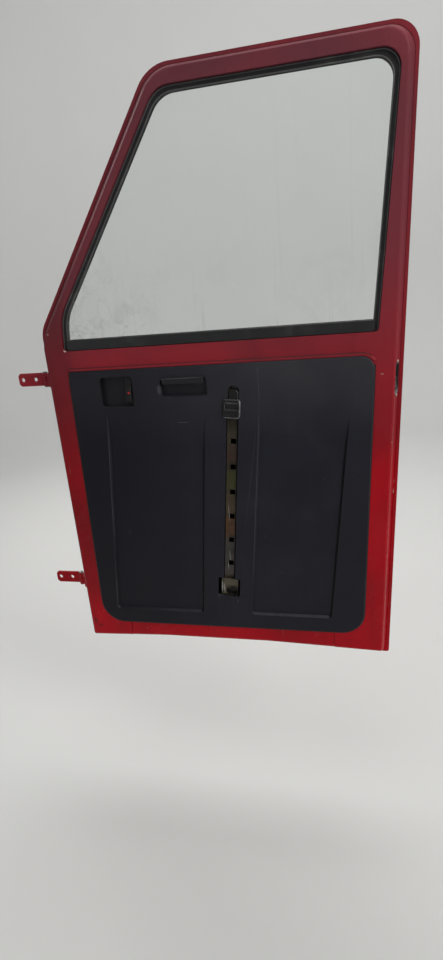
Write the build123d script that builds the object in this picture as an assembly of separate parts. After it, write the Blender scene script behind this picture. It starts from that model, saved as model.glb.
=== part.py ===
from build123d import *
import os
from math import cos, degrees, radians, sin, tan

# Right-hand cab door of a small three-wheeled truck, open at a right angle to the cab.
# Millimetres. The origin lies on the face that bolts to the cab's pillar, midway between the hinges.
# +X runs from the hinges to the latch, +Y from the cab side to the outside, +Z up along the hinge line.

# Whole door
DOOR_WIDTH = 698.0          # over the hems, at the bottom
DOOR_HEIGHT = 1152.0
FRONT_EDGE = 721.0          # height of the upright front edge, up to the belt corner
SILL_HEIGHT = 679.0         # bottom of the door to the window sill
PILLAR_LEAN = radians(33.8)
REAR_LEAN = radians(2.1)
SLIDE_LEAN = radians(5.7)   # the line that the window glass slides along
SHEET = 1.0
DEPTH = 27.0                # inner face to the back of the outer skin
CORNER_RADII = (5.0, 60.0, 70.0, 40.0, 5.0)     # bottom front, belt, top front, top rear, bottom rear
SAG_FRONT = 7.0             # bottom corners below the straight middle of the bottom edge
SAG_REAR = 9.0
SAG_REACH_FRONT = 190.0     # bottom corners to where the bottom edge runs straight
SAG_REACH_REAR = 265.0

# Sloping walls of the inner frame, from the outer edge of the door to the crease of the flat face
WALL_FRONT = 12.0
WALL_PILLAR = 23.0
WALL_TOP = 15.0
WALL_REAR = 16.0
WALL_BOTTOM = 16.0
CREASE_BEVEL = 2.4          # bevel that the press leaves along the crease
HEM = 6.0                   # flat flange outside the sloping wall
HEM_GAP = 0.2

# Where the rails of the inner frame meet
CORNER_FRONT = 112.0        # front edge to the joint in the bottom rail
CORNER_REAR = 115.0         # rear edge to the other joint in the bottom rail
PILLAR_JOINT = 30.0         # belt corner up to the foot of the window pillar
HEADER_JOINT = 20.0         # joints of the header, inwards from the corners of the window
HEADER_REACH = 90.0         # window top down to where the stile and pillar lie clear of the header's joints
BELT_JOINT = 12.0           # window corner to the end of the belt rail at the rear
JOGGLE = 1.0                # bottom rail's face behind the corners' faces
BEAD_RADIUS = 3.5

# Hinges
HINGE_SPACING = 474.0
HINGE_RISE = 148.0          # bottom of the door to the middle of the lower hinge
HINGE_HEIGHT = 28.0
HINGE_PLATE = 4.0
BARREL_RADIUS = 6.0
MIDDLE_KNUCKLE = 12.0
KNUCKLE_GAP = 0.3
KNUCKLE_RELIEF = 1.5
PIN_RADIUS = 4.0
PIN_RUNNING = 0.05
PIN_SEAT = 0.02
PIN_END = 2.0
PIN_TO_EDGE = 8.0           # pin axis to the front edge of the door
BOLT_SPACING = 30.0
BOLT_RADIUS = 4.25
BOLT_INSET = 41.0           # pin axis to the middle of the pillar bolts
LEAF_MARGIN = 10.0

# Window
WINDOW_FRONT = 53.0         # front edge of the door to the window at the sill
SIDE_FACE = 12.0            # flat face of the window pillar
HEADER_FACE = 25.0
REAR_FACE = 31.0            # flat face of the rear stile at the sill
WINDOW_LEAN = radians(4.9)
WINDOW_RADII = (8.0, 90.0, 50.0, 30.0, 8.0)
LIP = 8.0                   # sheet turned back round the openings of the inner frame
SKIN_LIP = 10.0             # sheet turned in round the window of the outer skin
SEAL_SHOWN = 11.0           # rubber that shows between the frame and the glass
SEAL_HIDDEN = 6.0
GLASS_THICKNESS = 4.0
GLASS_DEPTH = 10.5          # inner face to the glass
GLASS_BITE = 8.0            # glass held inside the rubber
GLASS_GAP = 0.2
GLASS_BELOW_SILL = 60.0
STRIP_HEIGHT = 22.0         # inner rubber strip above the sill
STRIP_ROOT = 7.0            # the same strip below the sill
OUTER_STRIP_HEIGHT = 12.0

# Moulded panel
PANEL_SHEET = 2.5
PANEL_MARGIN_FRONT = 41.0   # flat red face in front of the panel
PANEL_MARGIN_REAR = 37.0
PANEL_DROP = 41.5           # window sill to the top of the panel
PANEL_RISE = 50.0           # bottom of the door to the bottom of the panel
PANEL_FRONT_LEAN = radians(1.1)
PANEL_REAR_LEAN = radians(2.5)
PANEL_RADII = (50.0, 6.0, 26.0, 50.0)
PANEL_OVERLAP = 8.0
FIELD_DEPTH = 5.5
FIELD_WALL = 4.0            # width of a field's sloping side
FIELD_FADE = 62.0           # height over which a field comes up to the face at its top
FIELD_RISE = 84.0           # bottom of the door to the bottom of the fields
FIELD_RADII = (9.0, 9.0, 9.0, 9.0)
FIELD_FLOOR_RADII = (5.0, 5.0, 5.0, 5.0)
# ends at the bottom as shares of the door's width from its front edge, then height at the front and rear
FIELDS = ((0.1205, 0.4222, 471.0, 449.0), (0.5785, 0.8290, 481.0, 449.0))
SLOT_GAP = 1.5              # slot in front of the strip's folded edge
STEM_GAP = 3.5              # slot behind the strip's plain edge, where the catch's stem passes
SLOT_TOP = 558.0            # bottom of the door to the top of the slot, behind the catch
SLOT_RIM = 7.0
SLOT_RADIUS = 3.0
SLOT_ARCH = 11.0            # half the width of the arch over the slot
ARCH_TOP = 594.5
# opening round the bracket, past its front, rear, bottom and top
FOOT_MARGINS = (8.0, 5.0, 4.0, 1.5)
FOOT_RADIUS = 4.0

# Hand wells in the panel
WELL_DEPTH = 12.0
WELL_SHEET = 1.8
WELL_RADIUS = 7.0
# ends as shares of the door's width from its front edge, then heights from its bottom
POCKET = (0.3610, 0.5028, 577.0, 615.0)
POCKET_LIP_HEIGHT = 12.0
POCKET_LIP_DEPTH = 6.0
DISH = (0.1776, 0.2808, 559.0, 624.0)
LEVER_WIDTH = 13.0
LEVER_LENGTH = 48.0

# Window lift
WEB_WIDTH = 15.0
WING_WIDTH = 4.5
LIFT_SHEET = 1.5
WEB_DEPTH = 6.0             # inner face to the perforated web
HOLE_PITCH = 55.0
HOLE_SIZE = 11.0
HOLE_OFFSET = 0.5           # middle of the holes behind the middle of the web
HOLES_SHOWN = 6
FIRST_HOLE = (0.5620, 480.7)    # top hole that shows: share of the width from the front edge, and height
STRIP_LAP = 18.0            # ends of the strip behind the belt and bottom rails
BRACKET_SIZE = (36.0, 38.5)
BRACKET_RISE = 152.0        # bottom of the door to the middle of the bracket
BRACKET_FRONT = 0.5         # inner face forward to the front of the bracket
BRACKET_DIP = 4.5           # depth that its lower part slopes back
BRACKET_SLIT = 4.0
CATCH_SIZE = (36.0, 38.0)
CATCH_RISE = 549.0          # bottom of the door to the middle of the catch
CATCH_FRONT = 7.0
STEM = 2.0
CATCH_OFFSET = 3.5          # middle of the catch in front of the middle of the web
CARRIER_LENGTH = 260.0
CARRIER_HEIGHT = 17.0
CARRIER_SHEET = 2.0

# Latch
LATCH_RISE = 592.0          # bottom of the door to the middle of the latch
LATCH_HEIGHT = 65.0
LATCH_LENGTH = 34.0
LATCH_MARGIN = 4.0          # flat face and skin to the latch case
CUTOUT_HEIGHT = 56.0

# Outside
FIELD_OUT = 7.0             # outer skin's pressed field stands this far out
FIELD_EDGE = 42.0           # plain border of the skin round that field
FIELD_BEVEL = 4.0
GROOVE_RISE = 470.0
GROOVE_RADIUS = 6.0
HANDLE_RISE = 575.0
HANDLE_FROM_REAR = 190.0
HANDLE_LENGTH = 118.0
HANDLE_REACH = 30.0
GRIP = (20.0, 10.0)
HANDLE_BEND = 16.0
BUTTON_RADIUS = 8.0
BUTTON_WALL = 4.0
BUTTON_DEPTH = 8.0
BUTTON_OUT = 4.0

# Places worked out from the sizes above
X_PIN = BOLT_INSET
Y_PIN = -BARREL_RADIUS
X_FRONT = X_PIN + PIN_TO_EDGE
X_REAR = X_FRONT + DOOR_WIDTH
Y_SKIN = -SHEET                         # outside of the skin's plain border
Y_FLANGE = Y_SKIN - SHEET
Y_FACE = Y_FLANGE - DEPTH
Z_BOTTOM = -HINGE_SPACING / 2 - HINGE_RISE
Z_TOP = Z_BOTTOM + DOOR_HEIGHT
Z_BELT = Z_BOTTOM + FRONT_EDGE
Z_SILL = Z_BOTTOM + SILL_HEIGHT
HINGES = {"lower": -HINGE_SPACING / 2, "upper": HINGE_SPACING / 2}
FAR = 2 * DOOR_HEIGHT                   # reach of a cutting block


def on_depth(y):
    """Upright plane at a depth, whose own x and y are the door's X and Z."""
    return Plane(origin=(0, y, 0), x_dir=(1, 0, 0), z_dir=(0, -1, 0))


def rounded(points, radii):
    """Closed face on straight edges with a radius at each corner."""
    return make_face(FilletPolyline(*points, radius=radii, close=True))


def pressing(near_outline, near, far_outline, far, bevel):
    """Body between two outlines, with the bevel that a press leaves at the near one."""
    shoulder = near_outline.towards(far_outline, bevel / (far - near))
    return lofted((near_outline.inset(bevel).sketch(CORNER_RADII), near),
                  (shoulder.sketch(CORNER_RADII), near + bevel), (far_outline.sketch(CORNER_RADII), far))


def slab(face, near, far):
    """Face extruded between two depths."""
    return extrude(on_depth(near) * face, amount=near - far)


def lofted(*sections):
    """Straight-sided body through faces of like corners, each with its depth."""
    return loft([on_depth(y) * face for face, y in sections], ruled=True)


def block(x0, x1, y0, y1, z0, z1):
    """Box between two opposite corners."""
    return Pos((x0 + x1) / 2, (y0 + y1) / 2, (z0 + z1) / 2) * Box(x1 - x0, y1 - y0, z1 - z0)


def zone(x0, x1, z0, z1):
    """Block through the whole depth of the door."""
    return block(x0, x1, -FAR, FAR, z0, z1)


def along_x(profile, x0, x1):
    """Closed profile of (y, z) points extruded along X."""
    plane = Plane(origin=(x0, 0, 0), x_dir=(0, 1, 0), z_dir=(1, 0, 0))
    return extrude(plane * make_face(Polyline(*profile, close=True)), amount=x1 - x0)


def along_z(profile, z0, z1):
    """Closed profile of (x, y) points extruded along Z."""
    return extrude(Plane.XY.offset(z0) * make_face(Polyline(*profile, close=True)), amount=z1 - z0)


def slid(x, z, part):
    """Part drawn upright, leant to the line that the glass slides along and set at a place."""
    return Pos(x, 0, z) * Rot(0, degrees(SLIDE_LEAN), 0) * part


class Outline:
    """Front, pillar, top, rear and bottom edges, as the door and its window have them."""

    def __init__(self, front, belt, top, rear, bottom, front_lean, rear_lean, level, sags=False):
        self.front = front              # x of the front edge at the level
        self.belt = belt                # z where the front edge turns into the pillar
        self.top = top
        self.rear = rear                # x of the rear edge at the level
        self.bottom = bottom
        self.front_lean = front_lean
        self.rear_lean = rear_lean
        self.level = level
        self.sags = sags                # whether the bottom corners hang below the bottom edge

    def front_at(self, z):
        """X of the front edge at a height."""
        return self.front + (z - self.level) * tan(self.front_lean)

    def rear_at(self, z):
        """X of the rear edge at a height."""
        return self.rear + (z - self.level) * tan(self.rear_lean)

    def pillar_at(self, z):
        """X of the pillar's edge at a height."""
        return self.front_at(self.belt) + (z - self.belt) * tan(PILLAR_LEAN)

    def inset(self, front, pillar=None, top=None, rear=None, bottom=None):
        """The same outline with each edge moved inwards, square to itself."""
        pillar = front if pillar is None else pillar
        top = front if top is None else top
        rear = front if rear is None else rear
        bottom = front if bottom is None else bottom
        step = front / cos(self.front_lean)
        turn = tan(PILLAR_LEAN) - tan(self.front_lean)
        belt = self.belt + (step - pillar / cos(PILLAR_LEAN)) / turn
        return Outline(self.front + step, belt, self.top - top, self.rear - rear / cos(self.rear_lean),
                       self.bottom + bottom, self.front_lean, self.rear_lean, self.level, self.sags)

    def towards(self, other, share):
        """Outline part of the way to another one of the same leans."""
        def between(first, second):
            return first + (second - first) * share
        return Outline(between(self.front, other.front), between(self.belt, other.belt),
                       between(self.top, other.top), between(self.rear, other.rear),
                       between(self.bottom, other.bottom), self.front_lean, self.rear_lean, self.level,
                       self.sags)

    def sketch(self, radii):
        """Face with one radius for each corner, from the bottom front corner upwards and round."""
        front_foot = self.bottom - SAG_FRONT * self.sags
        rear_foot = self.bottom - SAG_REAR * self.sags
        corners = [(self.front_at(front_foot), front_foot), (self.front_at(self.belt), self.belt),
                   (self.pillar_at(self.top), self.top), (self.rear_at(self.top), self.top),
                   (self.rear_at(rear_foot), rear_foot)]
        if not self.sags:
            return rounded(corners, radii)
        bends = [(X_REAR - SAG_REACH_REAR, self.bottom), (X_FRONT + SAG_REACH_FRONT, self.bottom)]
        return rounded(corners + bends, [*radii, 0.0, 0.0])


# Outlines that the pieces share
door = Outline(X_FRONT, Z_BELT, Z_TOP, X_REAR, Z_BOTTOM, 0.0, REAR_LEAN, Z_BOTTOM, sags=True)
foot = door.inset(HEM)
crease = door.inset(WALL_FRONT, WALL_PILLAR, WALL_TOP, WALL_REAR, WALL_BOTTOM)


def window_outline():
    """Edge of the window in the inner frame's face."""
    front = X_FRONT + WINDOW_FRONT
    edge = crease.pillar_at(Z_SILL) + SIDE_FACE / cos(PILLAR_LEAN)
    belt = Z_SILL + (front - edge) / (tan(PILLAR_LEAN) - tan(SLIDE_LEAN))
    return Outline(front, belt, crease.top - HEADER_FACE, crease.rear_at(Z_SILL) - REAR_FACE, Z_SILL,
                   SLIDE_LEAN, WINDOW_LEAN, Z_SILL)


window = window_outline()
shown = window.inset(SEAL_SHOWN, bottom=0.0)
pane = window.inset(SEAL_SHOWN - GLASS_BITE, bottom=-GLASS_BELOW_SILL)
GLASS_FOOT = pane.bottom


def panel_corners(inset=0.0):
    """Corners of the moulded panel, or of the opening behind it."""
    top = Z_SILL - PANEL_DROP - inset
    bottom = Z_BOTTOM + PANEL_RISE + inset
    middle = Z_SILL - PANEL_DROP / 2 - SILL_HEIGHT / 2 + PANEL_RISE / 2
    front = crease.front_at(middle) + PANEL_MARGIN_FRONT + inset
    rear = crease.rear_at(middle) - PANEL_MARGIN_REAR - inset
    low = bottom - middle
    high = top - middle
    return [(front + low * tan(PANEL_FRONT_LEAN), bottom), (front + high * tan(PANEL_FRONT_LEAN), top),
            (rear + high * tan(PANEL_REAR_LEAN), top), (rear + low * tan(PANEL_REAR_LEAN), bottom)]


def panel_outline(inset=0.0):
    """Face of the moulded panel, or of the opening behind it."""
    smallest = 4.0
    return rounded(panel_corners(inset), [max(radius - inset, smallest) for radius in PANEL_RADII])


def inner_frame(face=Y_FACE):
    """Pressed inner frame with its flat face at a depth, before it is parted into its rails."""
    frame = pressing(crease, face, foot, Y_FLANGE, CREASE_BEVEL)
    frame -= pressing(crease.inset(SHEET), face + SHEET, foot.inset(SHEET), Y_FLANGE + SHEET,
                      CREASE_BEVEL - SHEET / 2)
    flange = slab(door.inset(SHEET + HEM_GAP).sketch(CORNER_RADII), Y_FLANGE - SHEET, Y_FLANGE)
    frame += flange - slab(foot.inset(SHEET).sketch(CORNER_RADII), Y_FLANGE - SHEET, Y_FLANGE)
    frame += slab(window.inset(-SHEET).sketch(WINDOW_RADII), face, Y_FACE + LIP)
    frame -= slab(window.sketch(WINDOW_RADII), face - SHEET, Y_FACE + DEPTH)
    frame += slab(panel_outline(PANEL_OVERLAP - SHEET), face, Y_FACE + LIP)
    frame -= slab(panel_outline(PANEL_OVERLAP), face - SHEET, Y_FACE + DEPTH)
    return frame


def belt_bead():
    """Rolled bead over the panel, turned down along its rear corner."""
    corners = panel_corners()
    radius = PANEL_RADII[2] + BEAD_RADIUS
    start = (corners[1][0] + BEAD_RADIUS, corners[1][1] + BEAD_RADIUS)
    bend = (corners[2][0] - PANEL_RADII[2], corners[2][1] + BEAD_RADIUS)
    run = Line(start, bend)
    turn = CenterArc((bend[0], bend[1] - radius), radius, 90, -55)
    path = on_depth(Y_FACE) * (Curve() + run + turn)
    profile = Plane(origin=path @ 0, z_dir=path % 0) * Circle(BEAD_RADIUS)
    return sweep(profile, path=path)


def rails():
    """Rails of the inner frame, parted at the welded joints."""
    frame = inner_frame()
    x_front = X_FRONT + CORNER_FRONT
    x_rear = X_REAR - CORNER_REAR
    z_pillar = Z_BELT + PILLAR_JOINT
    z_header = window.top - HEADER_REACH
    panel_top = panel_corners(PANEL_OVERLAP)[1][1]
    belt_zone = zone(window.front, window.rear + BELT_JOINT, panel_top, Z_SILL + SHEET)
    header_zone = zone(window.pillar_at(window.top) + HEADER_JOINT, window.rear_at(window.top) - HEADER_JOINT,
                       z_header, FAR)
    bottom_zone = zone(x_front, x_rear, -FAR, Z_BOTTOM + PANEL_RISE + PANEL_OVERLAP)
    pillar_zone = zone(-FAR, X_FRONT + DOOR_WIDTH / 2, z_pillar, FAR) - header_zone
    stile_zone = zone(x_rear, FAR, -FAR, FAR) - header_zone - belt_zone
    front_zone = zone(-FAR, x_front, -FAR, z_pillar) - belt_zone
    belt = (frame & belt_zone) - strip_passage(Y_FACE + SHEET, panel_top - LIP, panel_top + LIP)
    panel_foot = panel_corners(PANEL_OVERLAP)[0][1]
    bottom = inner_frame(Y_FACE + JOGGLE) & bottom_zone
    bottom -= strip_passage(Y_FACE + JOGGLE + SHEET, panel_foot - LIP, panel_foot + LIP)
    belt += belt_bead() & block(-FAR, FAR, -FAR, Y_FACE + SHEET, panel_top, Z_SILL)
    return {"front_stile": frame & front_zone, "window_pillar": frame & pillar_zone,
            "header": frame & header_zone, "rear_stile": frame & stile_zone,
            "belt_rail": belt, "bottom_rail": bottom}


def wall_at(y):
    """X of the front wall's outside at a depth."""
    share = (y - Y_FACE) / (Y_FLANGE - Y_FACE)
    return crease.front + (foot.front - crease.front) * share


def rear_wall_at(y, z):
    """X of the rear wall's outside at a depth and height."""
    share = (y - Y_FACE) / (Y_FLANGE - Y_FACE)
    return crease.rear_at(z) + (foot.rear_at(z) - crease.rear_at(z)) * share


def skin_field():
    """Corners of the outer skin's pressed field."""
    low = Z_BOTTOM + FIELD_EDGE
    high = Z_SILL - FIELD_EDGE / 2
    return [(X_FRONT + FIELD_EDGE, low), (X_FRONT + FIELD_EDGE, high),
            (door.rear_at(high) - FIELD_EDGE, high), (door.rear_at(low) - FIELD_EDGE, low)]


def grown(corners, size):
    """Four corners moved outwards, or inwards for a negative size."""
    signs = [(-1, -1), (-1, 1), (1, 1), (1, -1)]
    return [(x + sx * size, z + sz * size) for (x, z), (sx, sz) in zip(corners, signs)]


def outer_skin():
    """Outer skin, folded over the inner frame's flange and turned in round the window."""
    field = skin_field()
    radii = [FIELD_EDGE] * 4
    skin = slab(door.sketch(CORNER_RADII), Y_FLANGE - 2 * SHEET, Y_SKIN)
    skin -= slab(door.inset(SHEET).sketch(CORNER_RADII), Y_FLANGE - SHEET, Y_FLANGE)
    skin -= slab(door.inset(HEM).sketch(CORNER_RADII), Y_FLANGE - 3 * SHEET, Y_FLANGE)
    top = Y_SKIN + FIELD_OUT
    bevel = FIELD_BEVEL / 2
    skin += lofted((rounded(grown(field, SHEET), radii), Y_FLANGE),
                   (rounded(grown(field, SHEET - FIELD_OUT + bevel), radii), top - bevel),
                   (rounded(grown(field, SHEET - FIELD_OUT - FIELD_BEVEL), radii), top))
    groove = Pos(0, top, Z_BOTTOM + GROOVE_RISE) * Rot(0, 90, 0)
    ends = (X_FRONT + 2 * FIELD_EDGE, X_REAR - 2 * FIELD_EDGE)
    middle = Pos((ends[0] + ends[1]) / 2, 0, 0)
    hollow = lofted((rounded(field, radii), Y_FLANGE - SHEET / 2),
                    (rounded(grown(field, -FIELD_OUT + bevel), radii), top - SHEET - bevel),
                    (rounded(grown(field, -FIELD_OUT - FIELD_BEVEL), radii), top - SHEET))
    hollow -= middle * groove * Cylinder(GROOVE_RADIUS + SHEET, ends[1] - ends[0] + 2 * SHEET)
    skin -= hollow
    skin -= middle * groove * Cylinder(GROOVE_RADIUS, ends[1] - ends[0])
    skin += slab(window.inset(-SHEET).sketch(WINDOW_RADII), Y_FLANGE + SHEET - SKIN_LIP, Y_FLANGE)
    skin -= slab(window.sketch(WINDOW_RADII), Y_FACE, Y_SKIN + FIELD_OUT)
    return skin


def glass_runs():
    """Rubber channels round the glass, parted at the top corners."""
    outer = window.inset(-SEAL_HIDDEN, bottom=-GLASS_BELOW_SILL)
    inner = window.inset(SEAL_SHOWN, bottom=-2 * GLASS_BELOW_SILL)
    small = 2.0
    radii = [small, *WINDOW_RADII[1:4], small]
    near, far = Y_FACE + LIP, Y_FLANGE + SHEET - SKIN_LIP
    run = slab(outer.sketch(radii), near, far) - slab(inner.sketch(radii), near - SHEET, far + SHEET)
    groove = pane.inset(-GLASS_GAP, bottom=-GLASS_BELOW_SILL)
    run -= slab(groove.sketch(radii), Y_FACE + GLASS_DEPTH - GLASS_GAP,
                Y_FACE + GLASS_DEPTH + GLASS_THICKNESS + GLASS_GAP)
    front_x = window.pillar_at(window.top) + WINDOW_RADII[2]
    rear_x = window.rear_at(window.top) - WINDOW_RADII[3]
    top_zone = zone(front_x, rear_x, window.top - HEADER_REACH, FAR)
    return {"front_run": run & zone(-FAR, front_x, -FAR, FAR), "top_run": run & top_zone,
            "rear_run": run & (zone(front_x, FAR, -FAR, FAR) - top_zone)}


def window_glass():
    """Flat pane, from the rubber channels down into the door."""
    small = 3.0
    radii = [small, *WINDOW_RADII[1:4], small]
    return slab(pane.sketch(radii), Y_FACE + GLASS_DEPTH, Y_FACE + GLASS_DEPTH + GLASS_THICKNESS)


def sill_strips():
    """Rubber strips that wipe the glass, one on each side of it."""
    front = shown.front_at(Z_SILL + STRIP_HEIGHT) + GLASS_GAP
    rear = shown.rear_at(Z_SILL - STRIP_ROOT) - GLASS_GAP
    near = Y_FACE + SHEET
    far = Y_FACE + GLASS_DEPTH - GLASS_GAP
    lip = 2.0
    inner = [(near, Z_SILL + SHEET), (near, Z_SILL + STRIP_HEIGHT - lip), (near + lip, Z_SILL + STRIP_HEIGHT),
             (far, Z_SILL + STRIP_HEIGHT), (far, Z_SILL - STRIP_ROOT), (near + LIP, Z_SILL - STRIP_ROOT),
             (near + LIP, Z_SILL + SHEET)]
    glass_back = Y_FACE + GLASS_DEPTH + GLASS_THICKNESS + GLASS_GAP
    lip_end = Y_FLANGE + SHEET - SKIN_LIP
    outer = [(glass_back, Z_SILL - STRIP_ROOT), (lip_end, Z_SILL - STRIP_ROOT), (lip_end, Z_SILL),
             (Y_FLANGE, Z_SILL), (glass_back, Z_SILL + OUTER_STRIP_HEIGHT)]
    return {"inner_sill_strip": along_x(inner, front, rear), "outer_sill_strip": along_x(outer, front, rear)}


def field_corners(front, rear, front_height, rear_height):
    """Corners of one pressed field of the panel, at the panel's face."""
    bottom = Z_BOTTOM + FIELD_RISE
    lean = tan(SLIDE_LEAN)
    x0 = X_FRONT + front * DOOR_WIDTH
    x1 = X_FRONT + rear * DOOR_WIDTH
    return [(x0, bottom), (x0 + front_height * lean, bottom + front_height),
            (x1 + rear_height * lean, bottom + rear_height), (x1, bottom)]


def field_floor(corners, size, fade):
    """Corners of a field's floor, moved in from its sides and down from its top."""
    lean = tan(SLIDE_LEAN)
    (x0, z0), (x1, z1), (x2, z2), (x3, z3) = corners
    return [(x0 + size, z0 + size), (x1 + size - fade * lean, z1 - fade),
            (x2 - size - fade * lean, z2 - fade), (x3 - size, z3 + size)]


def slot_part(size, x0, x1, z0, z1, radius):
    """Upright rounded piece of the slot, its heights from the bottom of the door, leant with the strip."""
    middle = Z_BOTTOM + (z0 + z1) / 2
    piece = RectangleRounded(x1 - x0 + 2 * size, (z1 - z0) / cos(SLIDE_LEAN) + 2 * size, radius + size)
    return Pos(line_x(middle), middle) * Rot(0, 0, -degrees(SLIDE_LEAN)) * (Pos((x0 + x1) / 2, 0) * piece)


def slot_face(size=0.0):
    """Leaning slot for the window lift, with an arch at its top and an opening round the bracket."""
    half = WEB_WIDTH / 2
    width, height = BRACKET_SIZE
    front, rear, under, over = FOOT_MARGINS
    bottom = BRACKET_RISE - height / 2 - under
    top = BRACKET_RISE + height / 2 + over
    run = slot_part(size, -half - WING_WIDTH - SLOT_GAP, half + STEM_GAP, bottom, SLOT_TOP, SLOT_RADIUS)
    arch = slot_part(size, -SLOT_ARCH, SLOT_ARCH, SLOT_TOP - 2 * SLOT_ARCH, ARCH_TOP, SLOT_ARCH - SHEET)
    opening = slot_part(size, -width / 2 - front, width / 2 + rear, bottom, top, FOOT_RADIUS)
    return run + arch + opening


def line_x(z):
    """X of the middle of the lift's perforated web at a height."""
    return X_FRONT + FIRST_HOLE[0] * DOOR_WIDTH + (z - Z_BOTTOM - FIRST_HOLE[1]) * tan(SLIDE_LEAN)


def well_corners(sizes, inset=0.0):
    """Corners of a hand well."""
    x0, x1 = (X_FRONT + share * DOOR_WIDTH for share in sizes[:2])
    z0, z1 = (Z_BOTTOM + height for height in sizes[2:])
    x0, x1, z0, z1 = x0 + inset, x1 - inset, z0 + inset, z1 - inset
    return [(x0, z0), (x0, z1), (x1, z1), (x1, z0)]


def door_panel():
    """Moulded panel with two pressed fields, the lift's slot and the holes for the hand wells."""
    near = Y_FACE - PANEL_SHEET
    panel = slab(panel_outline(), near, Y_FACE)
    panel = chamfer(panel.faces().sort_by(Axis.Y)[0].edges(), PANEL_SHEET / 2)
    for row in FIELDS:
        corners = field_corners(*row)
        floor = field_floor(corners, FIELD_WALL, FIELD_FADE)
        panel += lofted((rounded(grown(corners, SHEET), FIELD_RADII), Y_FACE - SHEET),
                        (rounded(grown(floor, SHEET), FIELD_FLOOR_RADII), Y_FACE + FIELD_DEPTH))
        panel -= lofted((rounded(corners, FIELD_RADII), near),
                        (rounded(floor, FIELD_FLOOR_RADII), near + FIELD_DEPTH))
    panel += slab(slot_face(PANEL_SHEET), Y_FACE - SHEET, near + SLOT_RIM)
    panel -= slab(slot_face(), near - SHEET, near + SLOT_RIM + SHEET)
    panel -= strip_passage(Y_FACE, Z_BOTTOM + PANEL_RISE, Z_SILL - PANEL_DROP)
    for sizes in (POCKET, DISH):
        panel -= slab(rounded(well_corners(sizes), [WELL_RADIUS] * 4), near - SHEET, Y_FACE + SHEET)
    return panel


def well(sizes):
    """Thin cup that fills a hole of the panel."""
    near = Y_FACE - PANEL_SHEET
    radii = [WELL_RADIUS] * 4
    inner = [WELL_RADIUS - WELL_SHEET] * 4
    cup = slab(rounded(well_corners(sizes), radii), near, near + WELL_DEPTH)
    cup -= slab(rounded(well_corners(sizes, WELL_SHEET), inner), near - SHEET, near + WELL_DEPTH - WELL_SHEET)
    return cup


def pull_pocket():
    """Pull pocket with a lip along its top that stands out and slopes back over the fingers."""
    x0, top = well_corners(POCKET)[1]
    x1 = well_corners(POCKET)[2][0]
    near = Y_FACE - PANEL_SHEET
    out = near - POCKET_LIP_DEPTH
    foot_z = top - POCKET_LIP_HEIGHT
    wall = WELL_SHEET
    lip = [(near, top), (out, top - wall / 2), (out, top - wall), (near, foot_z),
           (near + wall, foot_z + wall / 2), (out + 2 * wall, top - 2 * wall), (near, top - wall)]
    return well(POCKET) + along_x(lip, x0 + WELL_RADIUS, x1 - WELL_RADIUS)


def release_lever():
    """Curved pull lever in the dish, hung from the top of its well."""
    right, upper = well_corners(DISH)[2]
    floor = Y_FACE - PANEL_SHEET + WELL_DEPTH - WELL_SHEET
    top = upper - 2 * WELL_SHEET
    foot_z = top - LEVER_LENGTH
    thick = 3.0
    out = 8.0
    middle_z = top - LEVER_LENGTH / 2
    profile = [(floor, top), (floor - thick, top), (floor - thick - out / 2, middle_z),
               (floor - thick - out, foot_z), (floor - out, foot_z), (floor - out / 2, middle_z),
               (floor, top - thick)]
    edge = right - 3 * WELL_SHEET
    return along_x(profile, edge - LEVER_WIDTH, edge)


def strip_passage(near, z_low, z_high):
    """Room behind a depth for the perforated strip to pass a rim or a rail's lip."""
    side = WEB_WIDTH / 2 + WING_WIDTH + SHEET
    middle = (z_low + z_high) / 2
    reach = (z_high - z_low) / 2 + SHEET
    return slid(line_x(middle), middle, block(-side, side, near, Y_FACE + 2 * LIP, -reach, reach))


def lift_strip():
    """Perforated strip that the window catch drops into, with a spacer at each end."""
    web_y = Y_FACE + WEB_DEPTH
    wing_y = Y_FACE + JOGGLE + SHEET
    z_top = panel_corners(PANEL_OVERLAP)[1][1] + STRIP_LAP
    z_low = panel_corners(PANEL_OVERLAP)[0][1] - STRIP_LAP
    half = WEB_WIDTH / 2
    length = (z_top - z_low) / cos(SLIDE_LEAN)
    profile = [(half, web_y), (half, web_y + LIFT_SHEET), (-half, web_y + LIFT_SHEET),
               (-half - WING_WIDTH, wing_y + LIFT_SHEET), (-half - WING_WIDTH, wing_y),
               (-half, web_y)]
    strip = along_z(profile, -length / 2, length / 2)
    strip += block(-half, half, Y_FACE + SHEET, web_y, length / 2 - STRIP_LAP / 2, length / 2)
    strip += block(-half, half, Y_FACE + JOGGLE + SHEET, web_y, -length / 2, STRIP_LAP / 2 - length / 2)
    middle = (z_top + z_low) / 2
    first = (Z_BOTTOM + FIRST_HOLE[1] - middle) / cos(SLIDE_LEAN)
    hidden = 2
    for step in range(-hidden, HOLES_SHOWN):
        strip -= Pos(HOLE_OFFSET, web_y, first - step * HOLE_PITCH) * Box(HOLE_SIZE, 2 * WEB_DEPTH, HOLE_SIZE)
    return slid(line_x(middle), middle, strip)


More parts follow.
